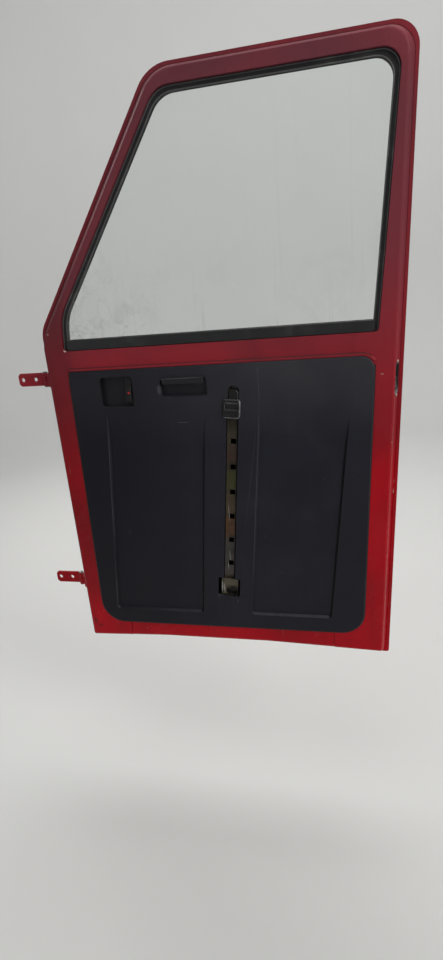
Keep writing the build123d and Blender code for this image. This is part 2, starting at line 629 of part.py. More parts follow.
def strip_bracket():
    """Folded clasp round the foot of the strip, dipped at its lower part, with a slit in its front flange."""
    width, height = BRACKET_SIZE
    wall = LIFT_SHEET
    near = Y_FACE - BRACKET_FRONT
    far = Y_FACE + WEB_DEPTH + wall
    left, right = -width / 2, width / 2
    low, high = -height / 2, height / 2
    clasp = block(left, right, near, far + wall, low, high)
    clasp -= block(left + wall, right - wall, near + wall, far, 2 * low, 2 * high)
    dip_x = -WEB_WIDTH / 2 + SHEET
    dip_end = low + 2 * BRACKET_SLIT
    clasp -= block(dip_x, right - wall, near - wall, near + wall, low + BRACKET_SLIT / 2, high / 4)
    bend = near + BRACKET_DIP * 0.35
    end = near + BRACKET_DIP
    dip = [(near, high / 4), (bend, 0), (end, dip_end), (end + wall, dip_end), (bend + wall, 0),
           (near + wall, high / 4)]
    clasp += along_x(dip, dip_x, right - wall)
    slit_x = left + 2 * wall
    clasp -= block(slit_x, slit_x + wall, near - wall, near + wall, low + 2 * wall, high - 2 * wall)
    z = Z_BOTTOM + BRACKET_RISE
    return slid(line_x(z), z, clasp)


def lift_catch():
    """Finger catch that slides along the strip, with a neck in the slot's arch."""
    width, height = CATCH_SIZE
    front = Y_FACE - CATCH_FRONT
    behind = Y_FACE - PANEL_SHEET - GLASS_GAP
    seat = Y_FACE + WEB_DEPTH - GLASS_GAP
    back = Y_FACE + WEB_DEPTH + LIFT_SHEET + SHEET
    z = Z_BOTTOM + CATCH_RISE
    left_x = -width / 2 - CATCH_OFFSET
    right_x = width / 2 - CATCH_OFFSET
    body = block(left_x, right_x, front, behind, -height / 2, height / 2)
    body = chamfer(body.edges().filter_by(Axis.Y), 4.0)
    body = chamfer(body.faces().sort_by(Axis.Y)[0].edges(), 2.0)
    body -= Pos(-CATCH_OFFSET, front - 9.0, height / 8) * Rot(0, 90, 0) * Cylinder(12.0, width - 10.0)
    neck = block(-SLOT_ARCH + 2.0, SLOT_ARCH - 2.0, front + 3.0, Y_FACE, height / 2 - 1.0, height / 2 + 18.0)
    neck = fillet(neck.edges().filter_by(Axis.Y).sort_by(Axis.Z)[-2:], 7.0)
    stem_x = WEB_WIDTH / 2 + SHEET
    stem = block(stem_x, stem_x + STEM, behind, back, -height / 3, height / 3)
    nose = block(-HOLE_SIZE / 3, HOLE_SIZE / 3, behind, seat, -HOLE_SIZE / 3, HOLE_SIZE / 3)
    return slid(line_x(z), z, body + neck + stem + nose)


def glass_carrier():
    """Channel under the glass, with the stem that joins it to the catch."""
    wall = CARRIER_SHEET
    near = Y_FACE + GLASS_DEPTH - GLASS_GAP - wall
    far = Y_FACE + GLASS_DEPTH + GLASS_THICKNESS + GLASS_GAP + wall
    low = GLASS_FOOT - wall
    high = low + CARRIER_HEIGHT
    profile = [(near, low), (far, low), (far, high), (far - wall, high), (far - wall, GLASS_FOOT),
               (near + wall, GLASS_FOOT), (near + wall, high), (near, high)]
    middle = line_x(GLASS_FOOT)
    carrier = along_x(profile, middle - CARRIER_LENGTH / 2, middle + CARRIER_LENGTH / 2)
    z = Z_BOTTOM + CATCH_RISE
    reach = CATCH_SIZE[0] / 2 + 4.0
    back = Y_FACE + WEB_DEPTH + LIFT_SHEET + SHEET
    stem = block(line_x(z) - reach, line_x(z) + reach, back, near + wall, z - CATCH_SIZE[1] / 2, low + wall)
    return carrier + stem


def latch():
    """Latch case behind the rear wall, its face flush in the wall's cutout, and the bevelled bolt."""
    z = Z_BOTTOM + LATCH_RISE
    inside = pressing(crease.inset(SHEET), Y_FACE + SHEET, foot.inset(SHEET), Y_FLANGE + SHEET,
                      CREASE_BEVEL - SHEET / 2)
    envelope = pressing(crease, Y_FACE, foot, Y_FLANGE, CREASE_BEVEL)
    near = Y_FACE + LATCH_MARGIN
    far = Y_FLANGE - LATCH_MARGIN
    x_back = rear_wall_at(far, z) - LATCH_LENGTH
    case = block(x_back, FAR, near, far, z - LATCH_HEIGHT / 2, z + LATCH_HEIGHT / 2) & inside
    half = CUTOUT_HEIGHT / 2 - HEM_GAP
    inner_near = near + SHEET
    inner_far = far - SHEET
    face = block(x_back, FAR, inner_near, inner_far, z - half, z + half) & envelope
    case += face
    bar = 3.0
    upper = (z + bar, z + half - bar)
    lower = (z - half + 3 * bar, z - bar)
    pocket = LATCH_LENGTH / 2
    pocket_near = inner_near + SHEET
    pocket_far = inner_far - SHEET
    for low, high in (upper, lower):
        case -= block(rear_wall_at(far, z) - pocket, FAR, pocket_near, pocket_far, low, high)
    tip = rear_wall_at(pocket_near, z) + 2.0
    root = rear_wall_at(far, z) - pocket
    bolt = [(root, pocket_near + GLASS_GAP), (tip - 8.0, pocket_near + GLASS_GAP), (tip, pocket_far - 4.0),
            (tip, pocket_far - GLASS_GAP), (root, pocket_far - GLASS_GAP)]
    return {"latch_case": case, "latch_bolt": along_z(bolt, lower[0] + GLASS_GAP, lower[1] - GLASS_GAP)}


def latch_cutout():
    """Hole in the rear wall for the latch's face."""
    z = Z_BOTTOM + LATCH_RISE
    return block(X_REAR - 2 * LATCH_LENGTH, FAR, Y_FACE + LATCH_MARGIN + SHEET - HEM_GAP,
                 Y_FLANGE - LATCH_MARGIN - SHEET + HEM_GAP, z - CUTOUT_HEIGHT / 2, z + CUTOUT_HEIGHT / 2)


def outer_handle():
    """Bow handle with a round boss for its push button."""
    seat = Y_SKIN + FIELD_OUT
    z = Z_BOTTOM + HANDLE_RISE
    width, thickness = GRIP
    top = seat + HANDLE_REACH
    x1 = door.rear_at(z) - HANDLE_FROM_REAR + HANDLE_LENGTH
    x0 = x1 - HANDLE_LENGTH
    outside = [(x0, seat), (x0, top), (x1, top), (x1, seat)]
    inside = [(x0 + thickness, seat), (x0 + thickness, top - thickness), (x1 - thickness, top - thickness),
              (x1 - thickness, seat)]
    low = z - width / 2
    handle = extrude(Plane.XY.offset(low) * rounded(outside, [0, HANDLE_BEND, HANDLE_BEND, 0]), amount=width)
    inner_bend = HANDLE_BEND / 2
    handle -= extrude(Plane.XY.offset(low) * rounded(inside, [0, inner_bend, inner_bend, 0]), amount=width)
    boss = BUTTON_RADIUS + BUTTON_WALL
    middle = x1 - boss / 2
    handle += Pos(middle, (seat + top) / 2, z) * Rot(90, 0, 0) * Cylinder(boss, HANDLE_REACH)
    handle -= Pos(middle, top - BUTTON_DEPTH / 2, z) * Rot(90, 0, 0) * Cylinder(
        BUTTON_RADIUS + HEM_GAP, BUTTON_DEPTH)
    button = Pos(middle, top + (BUTTON_OUT - BUTTON_DEPTH) / 2, z) * Rot(90, 0, 0) * Cylinder(
        BUTTON_RADIUS, BUTTON_DEPTH + BUTTON_OUT)
    return {"outer_handle": handle, "handle_button": button}


def knuckle(radius, z0, z1):
    """Solid cylinder on the pin axis."""
    return Pos(X_PIN, Y_PIN, (z0 + z1) / 2) * Cylinder(radius, z1 - z0)


def pillar_leaf(z):
    """Leaf that bolts to the cab's pillar, with the middle knuckle."""
    low = z - HINGE_HEIGHT / 2
    high = z + HINGE_HEIGHT / 2
    knuckle_low = z - MIDDLE_KNUCKLE / 2
    knuckle_high = z + MIDDLE_KNUCKLE / 2
    end = -BOLT_SPACING / 2 - LEAF_MARGIN
    leaf = block(end, X_PIN - BARREL_RADIUS - KNUCKLE_RELIEF, -HINGE_PLATE, 0, low, high)
    leaf = chamfer(leaf.edges().filter_by(Axis.Y).group_by(Axis.X)[0], LEAF_MARGIN / 2)
    leaf += block(0, X_PIN, -HINGE_PLATE, 0, knuckle_low, knuckle_high)
    leaf += knuckle(BARREL_RADIUS, knuckle_low, knuckle_high)
    leaf -= knuckle(PIN_RADIUS + PIN_RUNNING, low, high)
    for side in (-1, 1):
        leaf -= Pos(side * BOLT_SPACING / 2, 0, z) * Rot(90, 0, 0) * Cylinder(BOLT_RADIUS, 4 * HINGE_PLATE)
    return leaf


def door_leaf(z):
    """Leaf on the door's front wall, with the outer two knuckles."""
    low = z - HINGE_HEIGHT / 2
    high = z + HINGE_HEIGHT / 2
    inner = Y_FACE + HINGE_PLATE
    arm_near = Y_PIN - BARREL_RADIUS
    arm_far = arm_near + HINGE_PLATE
    profile = [(X_PIN, arm_near), (wall_at(arm_near) - HINGE_PLATE, arm_near),
               (wall_at(inner) - HINGE_PLATE, inner), (wall_at(inner), inner), (wall_at(arm_far), arm_far),
               (X_PIN, arm_far)]
    leaf = along_z(profile, low, high) + knuckle(BARREL_RADIUS, low, high)
    gap = MIDDLE_KNUCKLE / 2 + KNUCKLE_GAP
    leaf -= knuckle(BARREL_RADIUS + KNUCKLE_RELIEF, z - gap, z + gap)
    leaf -= knuckle(PIN_RADIUS + PIN_SEAT, low, high)
    return leaf


def hinge_pin(z):
    """Pin through the three knuckles, standing out at both ends."""
    reach = HINGE_HEIGHT / 2 + PIN_END
    return knuckle(PIN_RADIUS, z - reach, z + reach)


def parts():
    """Every piece by its name."""
    made = rails()
    made["rear_stile"] -= latch_cutout()
    made["outer_skin"] = outer_skin()
    made["window_glass"] = window_glass()
    made.update(glass_runs())
    made.update(sill_strips())
    made["door_panel"] = door_panel()
    made["pull_pocket"] = pull_pocket()
    made["release_dish"] = well(DISH)
    made["release_lever"] = release_lever()
    made["glass_carrier"] = glass_carrier()
    made["lift_strip"] = lift_strip()
    made["strip_bracket"] = strip_bracket()
    made["lift_catch"] = lift_catch()
    made.update(latch())
    made.update(outer_handle())
    for name, z in HINGES.items():
        made[f"{name}_pillar_leaf"] = pillar_leaf(z)
        made[f"{name}_door_leaf"] = door_leaf(z)
        made[f"{name}_pin"] = hinge_pin(z)
    return made


def main():
    """Write one file for each piece."""
    os.makedirs("parts", exist_ok=True)
    for name, part in parts().items():
        export_step(part, f"parts/{name}.step")
        print(name, round(part.volume), part.bounding_box())


if __name__ == "__main__":
    main()
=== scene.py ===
"""Studio picture of a small truck's cab door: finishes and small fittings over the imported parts."""

import sys

import logging
import math
from dataclasses import dataclass, field, replace
from enum import Enum
from functools import lru_cache
from typing import Iterable, Sequence

import bpy
from mathutils import Matrix, Vector


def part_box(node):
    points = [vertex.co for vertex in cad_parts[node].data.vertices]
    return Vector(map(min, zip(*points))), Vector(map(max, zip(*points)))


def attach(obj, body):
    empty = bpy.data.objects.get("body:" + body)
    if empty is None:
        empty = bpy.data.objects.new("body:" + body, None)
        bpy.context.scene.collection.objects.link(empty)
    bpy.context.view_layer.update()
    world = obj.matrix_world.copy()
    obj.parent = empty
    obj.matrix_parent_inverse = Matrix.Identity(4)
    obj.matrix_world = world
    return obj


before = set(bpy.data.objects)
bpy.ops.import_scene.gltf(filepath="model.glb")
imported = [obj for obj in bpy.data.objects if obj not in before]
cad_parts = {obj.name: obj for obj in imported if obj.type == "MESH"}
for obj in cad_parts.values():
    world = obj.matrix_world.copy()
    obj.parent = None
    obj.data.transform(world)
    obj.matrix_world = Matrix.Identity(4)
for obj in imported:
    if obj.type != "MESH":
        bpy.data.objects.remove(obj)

MM = 0.001
X, Y, Z = range(3)
FACE = -29.0
DOOR = "door"
CREASE = math.radians(38.0)
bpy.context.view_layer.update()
Colour = tuple[float, float, float]
Point = tuple[float, float, float]
Flat = tuple[float, float]
Band = tuple[float, float, Colour, float]
Socket = bpy.types.NodeSocket

log = logging.getLogger("door")


@dataclass(frozen=True)
class Box:
    """Lowest and highest corner of something, in millimetres."""

    low: Vector
    high: Vector

    @staticmethod
    def of(node: str) -> "Box":
        """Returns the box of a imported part."""
        low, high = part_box(node)
        return Box(Vector(low) / MM, Vector(high) / MM)

    @property
    def middle(self) -> Vector:
        """Middle of the box."""
        return (self.low + self.high) / 2


def measured(node: str) -> Box:
    """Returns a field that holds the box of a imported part."""
    return field(default_factory=lambda: Box.of(node))


class Slot(Enum):
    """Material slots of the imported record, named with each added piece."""

    PAINT = "red_paint"
    RUBBER = "seal_rubber"
    PLATED = "plated_steel"
    BLACK = "black_plastic"
    STEEL = "hinge_steel"


class Hinge(Enum):
    """The door's two hinges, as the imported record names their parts."""

    LOWER = "lower"
    UPPER = "upper"


class Edge(Enum):
    """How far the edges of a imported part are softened, in millimetres."""

    PRESSED = 0.35
    MOULDED = 0.5
    RUBBER = 0.9
    FORGED = 0.7
    SHEET = 0.25
    GLASS = 0.6


class Along(Enum):
    """Axis that a streak or grain runs along, as the squeeze of a noise along X, Y and Z."""

    NONE = (1.0, 1.0, 1.0)
    Z = (1.0, 1.0, 0.06)
    LONG_Z = (1.0, 1.0, 0.015)


@dataclass(frozen=True)
class Mark:
    """Ragged spot on a surface: its middle, and how far it reaches across and up, in millimetres."""

    x: float
    y: float
    z: float
    across: float
    tall: float

    def reach(self) -> Point:
        """Returns how far the mark reaches along X, Y and Z."""
        return self.across, max(self.across, self.tall), self.tall


class Graph:
    """Nodes of one material, built round a single shader."""

    def __init__(self, name: str) -> None:
        """Starts a material with a shader and its output.

        Args:
            name: Name of the material.
        """
        self.material = bpy.data.materials.new(name)
        self.material.use_nodes = True
        self.tree = self.material.node_tree
        self.tree.nodes.clear()
        self.shader = self.tree.nodes.new("ShaderNodeBsdfPrincipled")
        output = self.tree.nodes.new("ShaderNodeOutputMaterial")
        self.tree.links.new(self.shader.outputs["BSDF"], output.inputs["Surface"])
        coordinates = self.tree.nodes.new("ShaderNodeTexCoord")
        self.place = coordinates.outputs["Object"]
        self.normal = coordinates.outputs["Normal"]

    def feed(self, socket: Socket, value: object) -> None:
        """Gives a socket a number, a colour or another socket's output.

        Args:
            socket: Socket to fill.
            value: Number, tuple or output socket.
        """
        if isinstance(value, Socket):
            self.tree.links.new(value, socket)
        elif isinstance(value, tuple) and len(socket.default_value) > len(value):
            socket.default_value = (*value, 1.0)
        else:
            socket.default_value = value

    def set(self, **values: object) -> None:
        """Fills the shader's sockets.

        Args:
            values: Socket names with spaces as underscores, and what goes into each.
        """
        for name, value in values.items():
            self.feed(self.shader.inputs[name.replace("_", " ")], value)

    def math(self, operation: str, *values: object) -> Socket:
        """Returns the result of a sum on numbers or sockets.

        Args:
            operation: Blender's name of the sum.
            values: As many numbers or sockets as the sum takes.

        Returns:
            The result's socket.
        """
        node = self.tree.nodes.new("ShaderNodeMath")
        node.operation = operation
        for socket, value in zip(node.inputs, values):
            self.feed(socket, value)
        return node.outputs[0]

    def times(self, first: object, *others: object) -> Socket:
        """Returns the product of numbers or sockets."""
        for other in others:
            first = self.math("MULTIPLY", first, other)
        return first

    def vector(self, operation: str, first: object, second: object) -> bpy.types.Node:
        """Returns the node of a sum on two vectors.

        Args:
            operation: Blender's name of the sum.
            first: Tuple or socket.
            second: Tuple or socket.

        Returns:
            The node, whose outputs are a vector and a number.
        """
        node = self.tree.nodes.new("ShaderNodeVectorMath")
        node.operation = operation
        self.feed(node.inputs[0], first)
        self.feed(node.inputs[1], second)
        return node

    def noise(self, scale: float, detail: float = 3.0, along: Along = Along.NONE,
              distortion: float = 0.0) -> Socket:
        """Returns a noise over the object's own coordinates.

        Args:
            scale: Waves to a metre.
            detail: Octaves of the noise.
            along: Axis that the noise is drawn out along.
            distortion: How much the noise is warped.

        Returns:
            The noise's socket, about 0.5 in the middle.
        """
        node = self.tree.nodes.new("ShaderNodeTexNoise")
        drawn_out = self.vector("MULTIPLY", self.place, along.value).outputs[0]
        self.tree.links.new(drawn_out, node.inputs["Vector"])
        node.inputs["Scale"].default_value = scale
        node.inputs["Detail"].default_value = detail
        node.inputs["Distortion"].default_value = distortion
        return node.outputs["Fac"]

    def cells(self, scale: float) -> Socket:
        """Returns the distance to the nearest of scattered points, for a moulded grain.

        Args:
            scale: Points to a metre.

        Returns:
            The distance's socket.
        """
        node = self.tree.nodes.new("ShaderNodeTexVoronoi")
        self.tree.links.new(self.place, node.inputs["Vector"])
        node.inputs["Scale"].default_value = scale
        return node.outputs["Distance"]

    def step(self, value: object, low: float, high: float, to_low: float = 0.0,
             to_high: float = 1.0) -> Socket:
        """Returns a smooth step between two levels of a value.

        Args:
            value: Number or socket to read.
            low: Level where the step starts.
            high: Level where it ends.
            to_low: Result below the step.
            to_high: Result above it.

        Returns:
            The result's socket.
        """
        node = self.tree.nodes.new("ShaderNodeMapRange")
        node.interpolation_type = "SMOOTHSTEP"
        self.feed(node.inputs["Value"], value)
        for name, number in (("From Min", low), ("From Max", high), ("To Min", to_low), ("To Max", to_high)):
            node.inputs[name].default_value = number
        return node.outputs["Result"]

    def mix(self, share: object, first: object, second: object) -> Socket:
        """Returns a colour between two.

        Args:
            share: How much of the second, as a number or socket.
            first: Colour or socket.
            second: Colour or socket.

        Returns:
            The colour's socket.
        """
        node = self.tree.nodes.new("ShaderNodeMix")
        node.data_type = "RGBA"
        # The node has a set of sockets for each kind of data; these are its factor and its two colours.
        for index, value in ((0, share), (6, first), (7, second)):
            self.feed(node.inputs[index], value)
        return node.outputs[2]

    def part(self, vector: Socket, index: int) -> Socket:
        """Returns the X, Y or Z of a vector."""
        node = self.tree.nodes.new("ShaderNodeSeparateXYZ")
        self.tree.links.new(vector, node.inputs[0])
        return node.outputs[index]

    def axis(self, index: int) -> Socket:
        """Returns the place's coordinate along X, Y or Z."""
        return self.part(self.place, index)

    def facing(self, index: int) -> Socket:
        """Returns how far the surface faces along X, Y or Z, from -1 to 1."""
        return self.part(self.normal, index)

    def rise(self, index: int, span: Flat, to_low: float = 0.0, to_high: float = 1.0) -> Socket:
        """Returns a smooth step along one of the place's coordinates.

        Args:
            index: X, Y or Z.
            span: Where the step starts and ends, in millimetres.
            to_low: Result before the step.
            to_high: Result after it.

        Returns:
            The result's socket.
        """
        return self.step(self.axis(index), span[0] * MM, span[1] * MM, to_low, to_high)

    def within(self, index: int, low: float, high: float, soft: float) -> Socket:
        """Returns a mask of the places between two levels of a coordinate.

        Args:
            index: X, Y or Z.
            low: Lower level, in millimetres.
            high: Upper level, in millimetres.
            soft: Width of the mask's edges, in millimetres.

        Returns:
            The mask's socket.
        """
        place = self.axis(index)
        above = self.step(place, low * MM, (low + soft) * MM)
        below = self.step(place, (high - soft) * MM, high * MM, 1.0, 0.0)
        return self.times(above, below)

    def marks(self, marks: Sequence[Mark], raggedness: float) -> Socket:
        """Returns a mask of ragged marks.

        Args:
            marks: Places and sizes of the marks.
            raggedness: Share of a mark's size by which its edge wanders.

        Returns:
            The mask's socket, 1 inside a mark.
        """
        wander = self.times(self.math("SUBTRACT", self.noise(420.0, 4.0), 0.5), 4.0 * raggedness)
        mask: object = 0.0
        for mark in marks:
            middle = tuple(number * MM for number in (mark.x, mark.y, mark.z))
            scale = tuple(1.0 / (number * MM) for number in mark.reach())
            offset = self.vector("SUBTRACT", self.place, middle).outputs[0]
            scaled = self.vector("MULTIPLY", offset, scale).outputs[0]
            far = self.vector("DISTANCE", scaled, (0.0, 0.0, 0.0)).outputs["Value"]
            mask = self.math("MAXIMUM", mask, self.step(self.math("ADD", far, wander), 0.75, 1.05, 1.0, 0.0))
        return mask

    def bump(self, height: object, strength: float, reach: float, under: Socket | None = None) -> Socket:
        """Returns a normal raised by a height.

        Args:
            height: Socket of the height.
            strength: Share of the bump.
            reach: Depth of the bump, in millimetres.
            under: Normal that this one is added to.

        Returns:
            The normal's socket.
        """
        node = self.tree.nodes.new("ShaderNodeBump")
        node.inputs["Strength"].default_value = strength
        node.inputs["Distance"].default_value = reach * MM
        self.feed(node.inputs["Height"], height)
        if under is not None:
            self.tree.links.new(under, node.inputs["Normal"])
        return node.outputs["Normal"]


@dataclass(frozen=True)
class AgedPaint:
    """Gloss paint with dull patches, a painted sky reflection and a rough film higher up, optional painted
    shade, dust, scratches and a few chips down to the primer.
    """

    name: str = "red_gloss_paint"
    fresh: Colour = (0.410, 0.0024, 0.0095)
    dull: Colour = (0.270, 0.0034, 0.0090)
    sky_sheen: Colour = (0.038, 0.046, 0.060)
    dust: Colour = (0.25, 0.13, 0.11)
    primer: Colour = (0.52, 0.38, 0.35)
    # Dark red of the grime streaks, and also of the painted shade on the front stile and the belt bead's
    # shoulder.
    grime_and_shade: Colour = (0.030, 0.008, 0.009)
    chips: tuple[Mark, ...] = ()
    dark_spots: tuple[Mark, ...] = ()
    dusty: float = 0.035
    settled: float = 0.16
    gloss: float = 0.27
    shine: float = 0.12
    coat: float = 0.05
    coat_gloss: float = 0.12
    top_sheen_and_film: float = 0.64
    sheen_and_film_rise: Flat = (-50.0, 520.0)
    shaded: float = 0.0
    shaded_front: Flat = (100.0, 135.0)
    shaded_foot: Flat = (-330.0, -240.0)
    shoulder_shade: float = 0.0
    shoulder_shade_at: Flat = (251.0, 264.0)
    hollow_shade: Colour | None = None
    hollow_shade_span: Flat = (-330.0, 270.0)
    hollow_shade_depth: Flat = (-1.7, -1.3)

    def inside(self, graph: Graph) -> Socket:
        """Returns the mask of the surface that the door's hollow keeps from the light."""
        inner = graph.step(graph.facing(Y), -0.15, 0.1, 1.0, 0.0)
        deep = graph.rise(Y, self.hollow_shade_depth)
        return graph.times(inner, deep, graph.within(Z, *self.hollow_shade_span, 8.0))

    def weathering_and_painted_light(self, graph: Graph) -> tuple[Socket, Socket]:
        """Lays patches, a painted sky reflection higher up, painted shade at the front, streaks, dust and
        scratches over the paint.

        Args:
            graph: Nodes of the material.

        Returns:
            Sockets of the colour and of the share of dust and of the rough film higher up, which also
            carries the painted sky reflection.
        """
        patches = graph.step(graph.noise(3.2, 5.0, distortion=0.4), 0.36, 0.66)
        colour = graph.mix(patches, self.fresh, self.dull)
        # Higher up the colour turns toward a painted reflection of the sky, and the same share roughens the
        # paint.
        sheen_and_film = graph.rise(Z, self.sheen_and_film_rise, 0.0, self.top_sheen_and_film)
        colour = graph.mix(sheen_and_film, colour, self.sky_sheen)
        # Painted shade: the front stile above its foot is darkened.
        if self.shaded:
            front = graph.rise(X, self.shaded_front, self.shaded, 0.0)
            raised = graph.rise(Z, self.shaded_foot)
            colour = graph.mix(graph.times(front, raised), colour, self.grime_and_shade)
        streaks = graph.step(graph.noise(34.0, 4.0, Along.Z), 0.52, 0.78, 0.0, 0.16)
        colour = graph.mix(streaks, colour, self.grime_and_shade)
        film = graph.step(graph.noise(9.0, 6.0, distortion=0.8), 0.48, 0.82, 0.0, self.dusty)
        lying = graph.step(graph.facing(Z), 0.45, 0.98, 0.0, self.settled)
        speckle = graph.step(graph.noise(260.0, 2.0), 0.66, 0.76, 0.0, 0.04)
        dust = graph.math("MAXIMUM", graph.math("ADD", film, speckle), lying)
        colour = graph.mix(dust, colour, self.dust)
        lines = graph.step(graph.noise(300.0, 2.0, Along.LONG_Z), 0.735, 0.755)
        crossing = graph.step(graph.noise(14.0, 2.0), 0.55, 0.62, 0.0, 0.30)
        colour = graph.mix(graph.times(lines, crossing), colour, self.primer)
        return colour, graph.math("MAXIMUM", dust, sheen_and_film)

    def material(self) -> bpy.types.Material:
        """Builds the paint."""
        graph = Graph(self.name)
        colour, dust = self.weathering_and_painted_light(graph)
        roughness = graph.math("MULTIPLY_ADD", dust, 0.7, self.gloss)
        surface = graph.bump(graph.noise(520.0, 2.0), 0.06, 0.25)
        # Painted shade along the upper shoulder of the belt's bead.
        if self.shoulder_shade:
            upper = graph.step(graph.facing(Z), 0.15, 0.5)
            shaded_shoulder = graph.times(upper, graph.within(Z, *self.shoulder_shade_at, 2.0), self.shoulder_shade)
            colour = graph.mix(shaded_shoulder, colour, self.grime_and_shade)
        # Soft-edged darker spots on the paint.
        if self.dark_spots:
            colour = graph.mix(graph.times(graph.marks(self.dark_spots, 0.5), 0.45), colour, self.grime_and_shade)
        if self.chips:
            chips = graph.marks(self.chips, 0.4)
            colour = graph.mix(chips, colour, self.primer)
            roughness = graph.math("MAXIMUM", roughness, graph.times(chips, 0.7))
            surface = graph.bump(graph.math("SUBTRACT", 1.0, chips), 0.6, 0.15, surface)
        # Painted shade: the skin's inner face inside the door's hollow is darkened almost to black and made
        # matt.
        if self.hollow_shade:
            inside = self.inside(graph)
            colour = graph.mix(inside, colour, self.hollow_shade)
            roughness = graph.math("MAXIMUM", roughness, graph.times(inside, 0.9))
        graph.set(Base_Color=colour, Roughness=roughness, Normal=surface, Coat_Weight=self.coat,
                  Coat_Roughness=self.coat_gloss, Specular_IOR_Level=self.shine)
        return graph.material


@dataclass(frozen=True)
class GrainedPlastic:
    """Moulded plastic with a fine grain, dust, scuffs, rubbed edges, and painted light: a painted sheen
    higher up, painted highlights on walls and edges, and painted shade.
    """

    name: str = "panel_plastic"
    clean: Colour = (0.0070, 0.0071, 0.0132)
    faded: Colour = (0.0102, 0.0105, 0.0178)
    # The dust colour also serves the painted sheen and the painted highlights below.
    dust: Colour = (0.060, 0.060, 0.068)
    grain: float = 1150.0
    dusty: float = 0.12
    settled: float = 0.55
    roughness: float = 0.52
    shine: float = 0.26
    rubbed_and_lit: float = 0.0
    crest: Flat = (-31.3, -28.6)
    sunk_shade: float = 0.0
    handled_and_lit: float = 0.0
    dust_and_sheen: float = 0.0
    dust_and_sheen_rise: Flat = (80.0, 240.0)
    dust_and_sheen_rear: Flat = (200.0, 500.0)
    shaded: float = 0.0
    shaded_front: Flat = (100.0, 480.0)
    scuffs_and_highlights: tuple[Mark, ...] = ()
    paint_marks: tuple[Mark, ...] = ()
    paint: Colour = (0.42, 0.015, 0.012)
    bare_and_glint: Colour = (0.40, 0.40, 0.42)
    shade: Colour = (0.0014, 0.0010, 0.0056)
    wall_shade: Colour = (0.0008, 0.0008, 0.0010)

    def wear_and_painted_light(self, graph: Graph, colour: Socket) -> Socket:
        """Lays painted shade, dust with a painted sheen higher up, rubbed walls and handled edges that are
        partly painted highlights, and scuffs with painted highlights over the plastic.

        Args:
            graph: Nodes of the material.
            colour: Colour before the wear.

        Returns:
            Socket of the colour.
        """
        if self.shaded:
            front = graph.rise(X, self.shaded_front, self.shaded, 0.0)
            colour = graph.mix(front, colour, self.shade)
        # Higher up and toward the rear the plastic is lightened, partly dust and partly a painted sheen.
        if self.dust_and_sheen:
            high = graph.rise(Z, self.dust_and_sheen_rise, 0.0, self.dust_and_sheen)
            rear = graph.rise(X, self.dust_and_sheen_rear, 0.35, 1.0)
            colour = graph.mix(graph.times(high, rear, graph.noise(6.0, 3.0)), colour, self.dust)
        # Walls facing +X, toward the key light, are lightened: partly rubbed wear, partly painted highlight.
        if self.rubbed_and_lit:
            side = graph.step(graph.facing(X), 0.15, 0.6)
            crest = graph.rise(Y, self.crest, 1.0, 0.22)
            broken = graph.step(graph.noise(60.0, 4.0, Along.Z), 0.34, 0.62, 0.25, 1.0)
            colour = graph.mix(graph.times(side, crest, broken, self.rubbed_and_lit), colour, self.dust)
        # Painted shade: walls facing -X, away from the key light, are darkened almost to black.
        if self.sunk_shade:
            colour = graph.mix(graph.step(graph.facing(X), -0.45, -0.10, self.sunk_shade, 0.0), colour, self.wall_shade)
        # Faces toward +X and the undersides are lightened toward bare plastic: partly wear from hands,
        # partly painted highlight.
        if self.handled_and_lit:
            rear = graph.step(graph.facing(X), 0.35, 0.75)
            under = graph.step(graph.facing(Z), -0.75, -0.35, 1.0, 0.0)
            patchy = graph.step(graph.noise(90.0, 4.0), 0.35, 0.55, 0.4, 1.0)
            edges = graph.times(graph.math("MAXIMUM", rear, under), patchy, self.handled_and_lit)
            colour = graph.mix(edges, colour, self.bare_and_glint)
        # Ragged light marks: scuffs, and painted highlights such as the pocket's lit left wall, its lip and
        # the lever's edge.
        if self.scuffs_and_highlights:
            colour = graph.mix(graph.times(graph.marks(self.scuffs_and_highlights, 0.3), 0.8), colour, self.dust)
        if self.paint_marks:
            colour = graph.mix(graph.marks(self.paint_marks, 0.25), colour, self.paint)
        return colour

    def material(self) -> bpy.types.Material:
        """Builds the plastic."""
        graph = Graph(self.name)
        fade = graph.step(graph.noise(4.0, 4.0, distortion=0.5), 0.35, 0.68)
        colour = graph.mix(fade, self.clean, self.faded)
        cloud = graph.step(graph.noise(11.0, 6.0, distortion=1.0), 0.50, 0.85, 0.0, self.dusty)
        streaks = graph.step(graph.noise(48.0, 3.0, Along.Z), 0.55, 0.80, 0.0, self.dusty * 0.5)
        broken = graph.step(graph.noise(75.0, 3.0), 0.30, 0.60, 0.55, 1.0)
        lying = graph.times(graph.step(graph.facing(Z), 0.30, 0.90, 0.0, self.settled), broken)
        dust = graph.math("MAXIMUM", graph.math("ADD", cloud, streaks), lying)
        colour = graph.mix(dust, colour, self.dust)
        specks = graph.step(graph.noise(190.0, 2.0), 0.72, 0.78, 0.0, 0.25)
        colour = self.wear_and_painted_light(graph, graph.mix(specks, colour, self.dust))
        leather = graph.bump(graph.cells(self.grain), 0.28, 0.22)
        waves = graph.bump(graph.noise(18.0, 2.0), 0.10, 1.2, leather)
        graph.set(Base_Color=colour, Roughness=graph.math("MULTIPLY_ADD", dust, 0.45, self.roughness),
                  Normal=waves, Specular_IOR_Level=self.shine)
        return graph.material


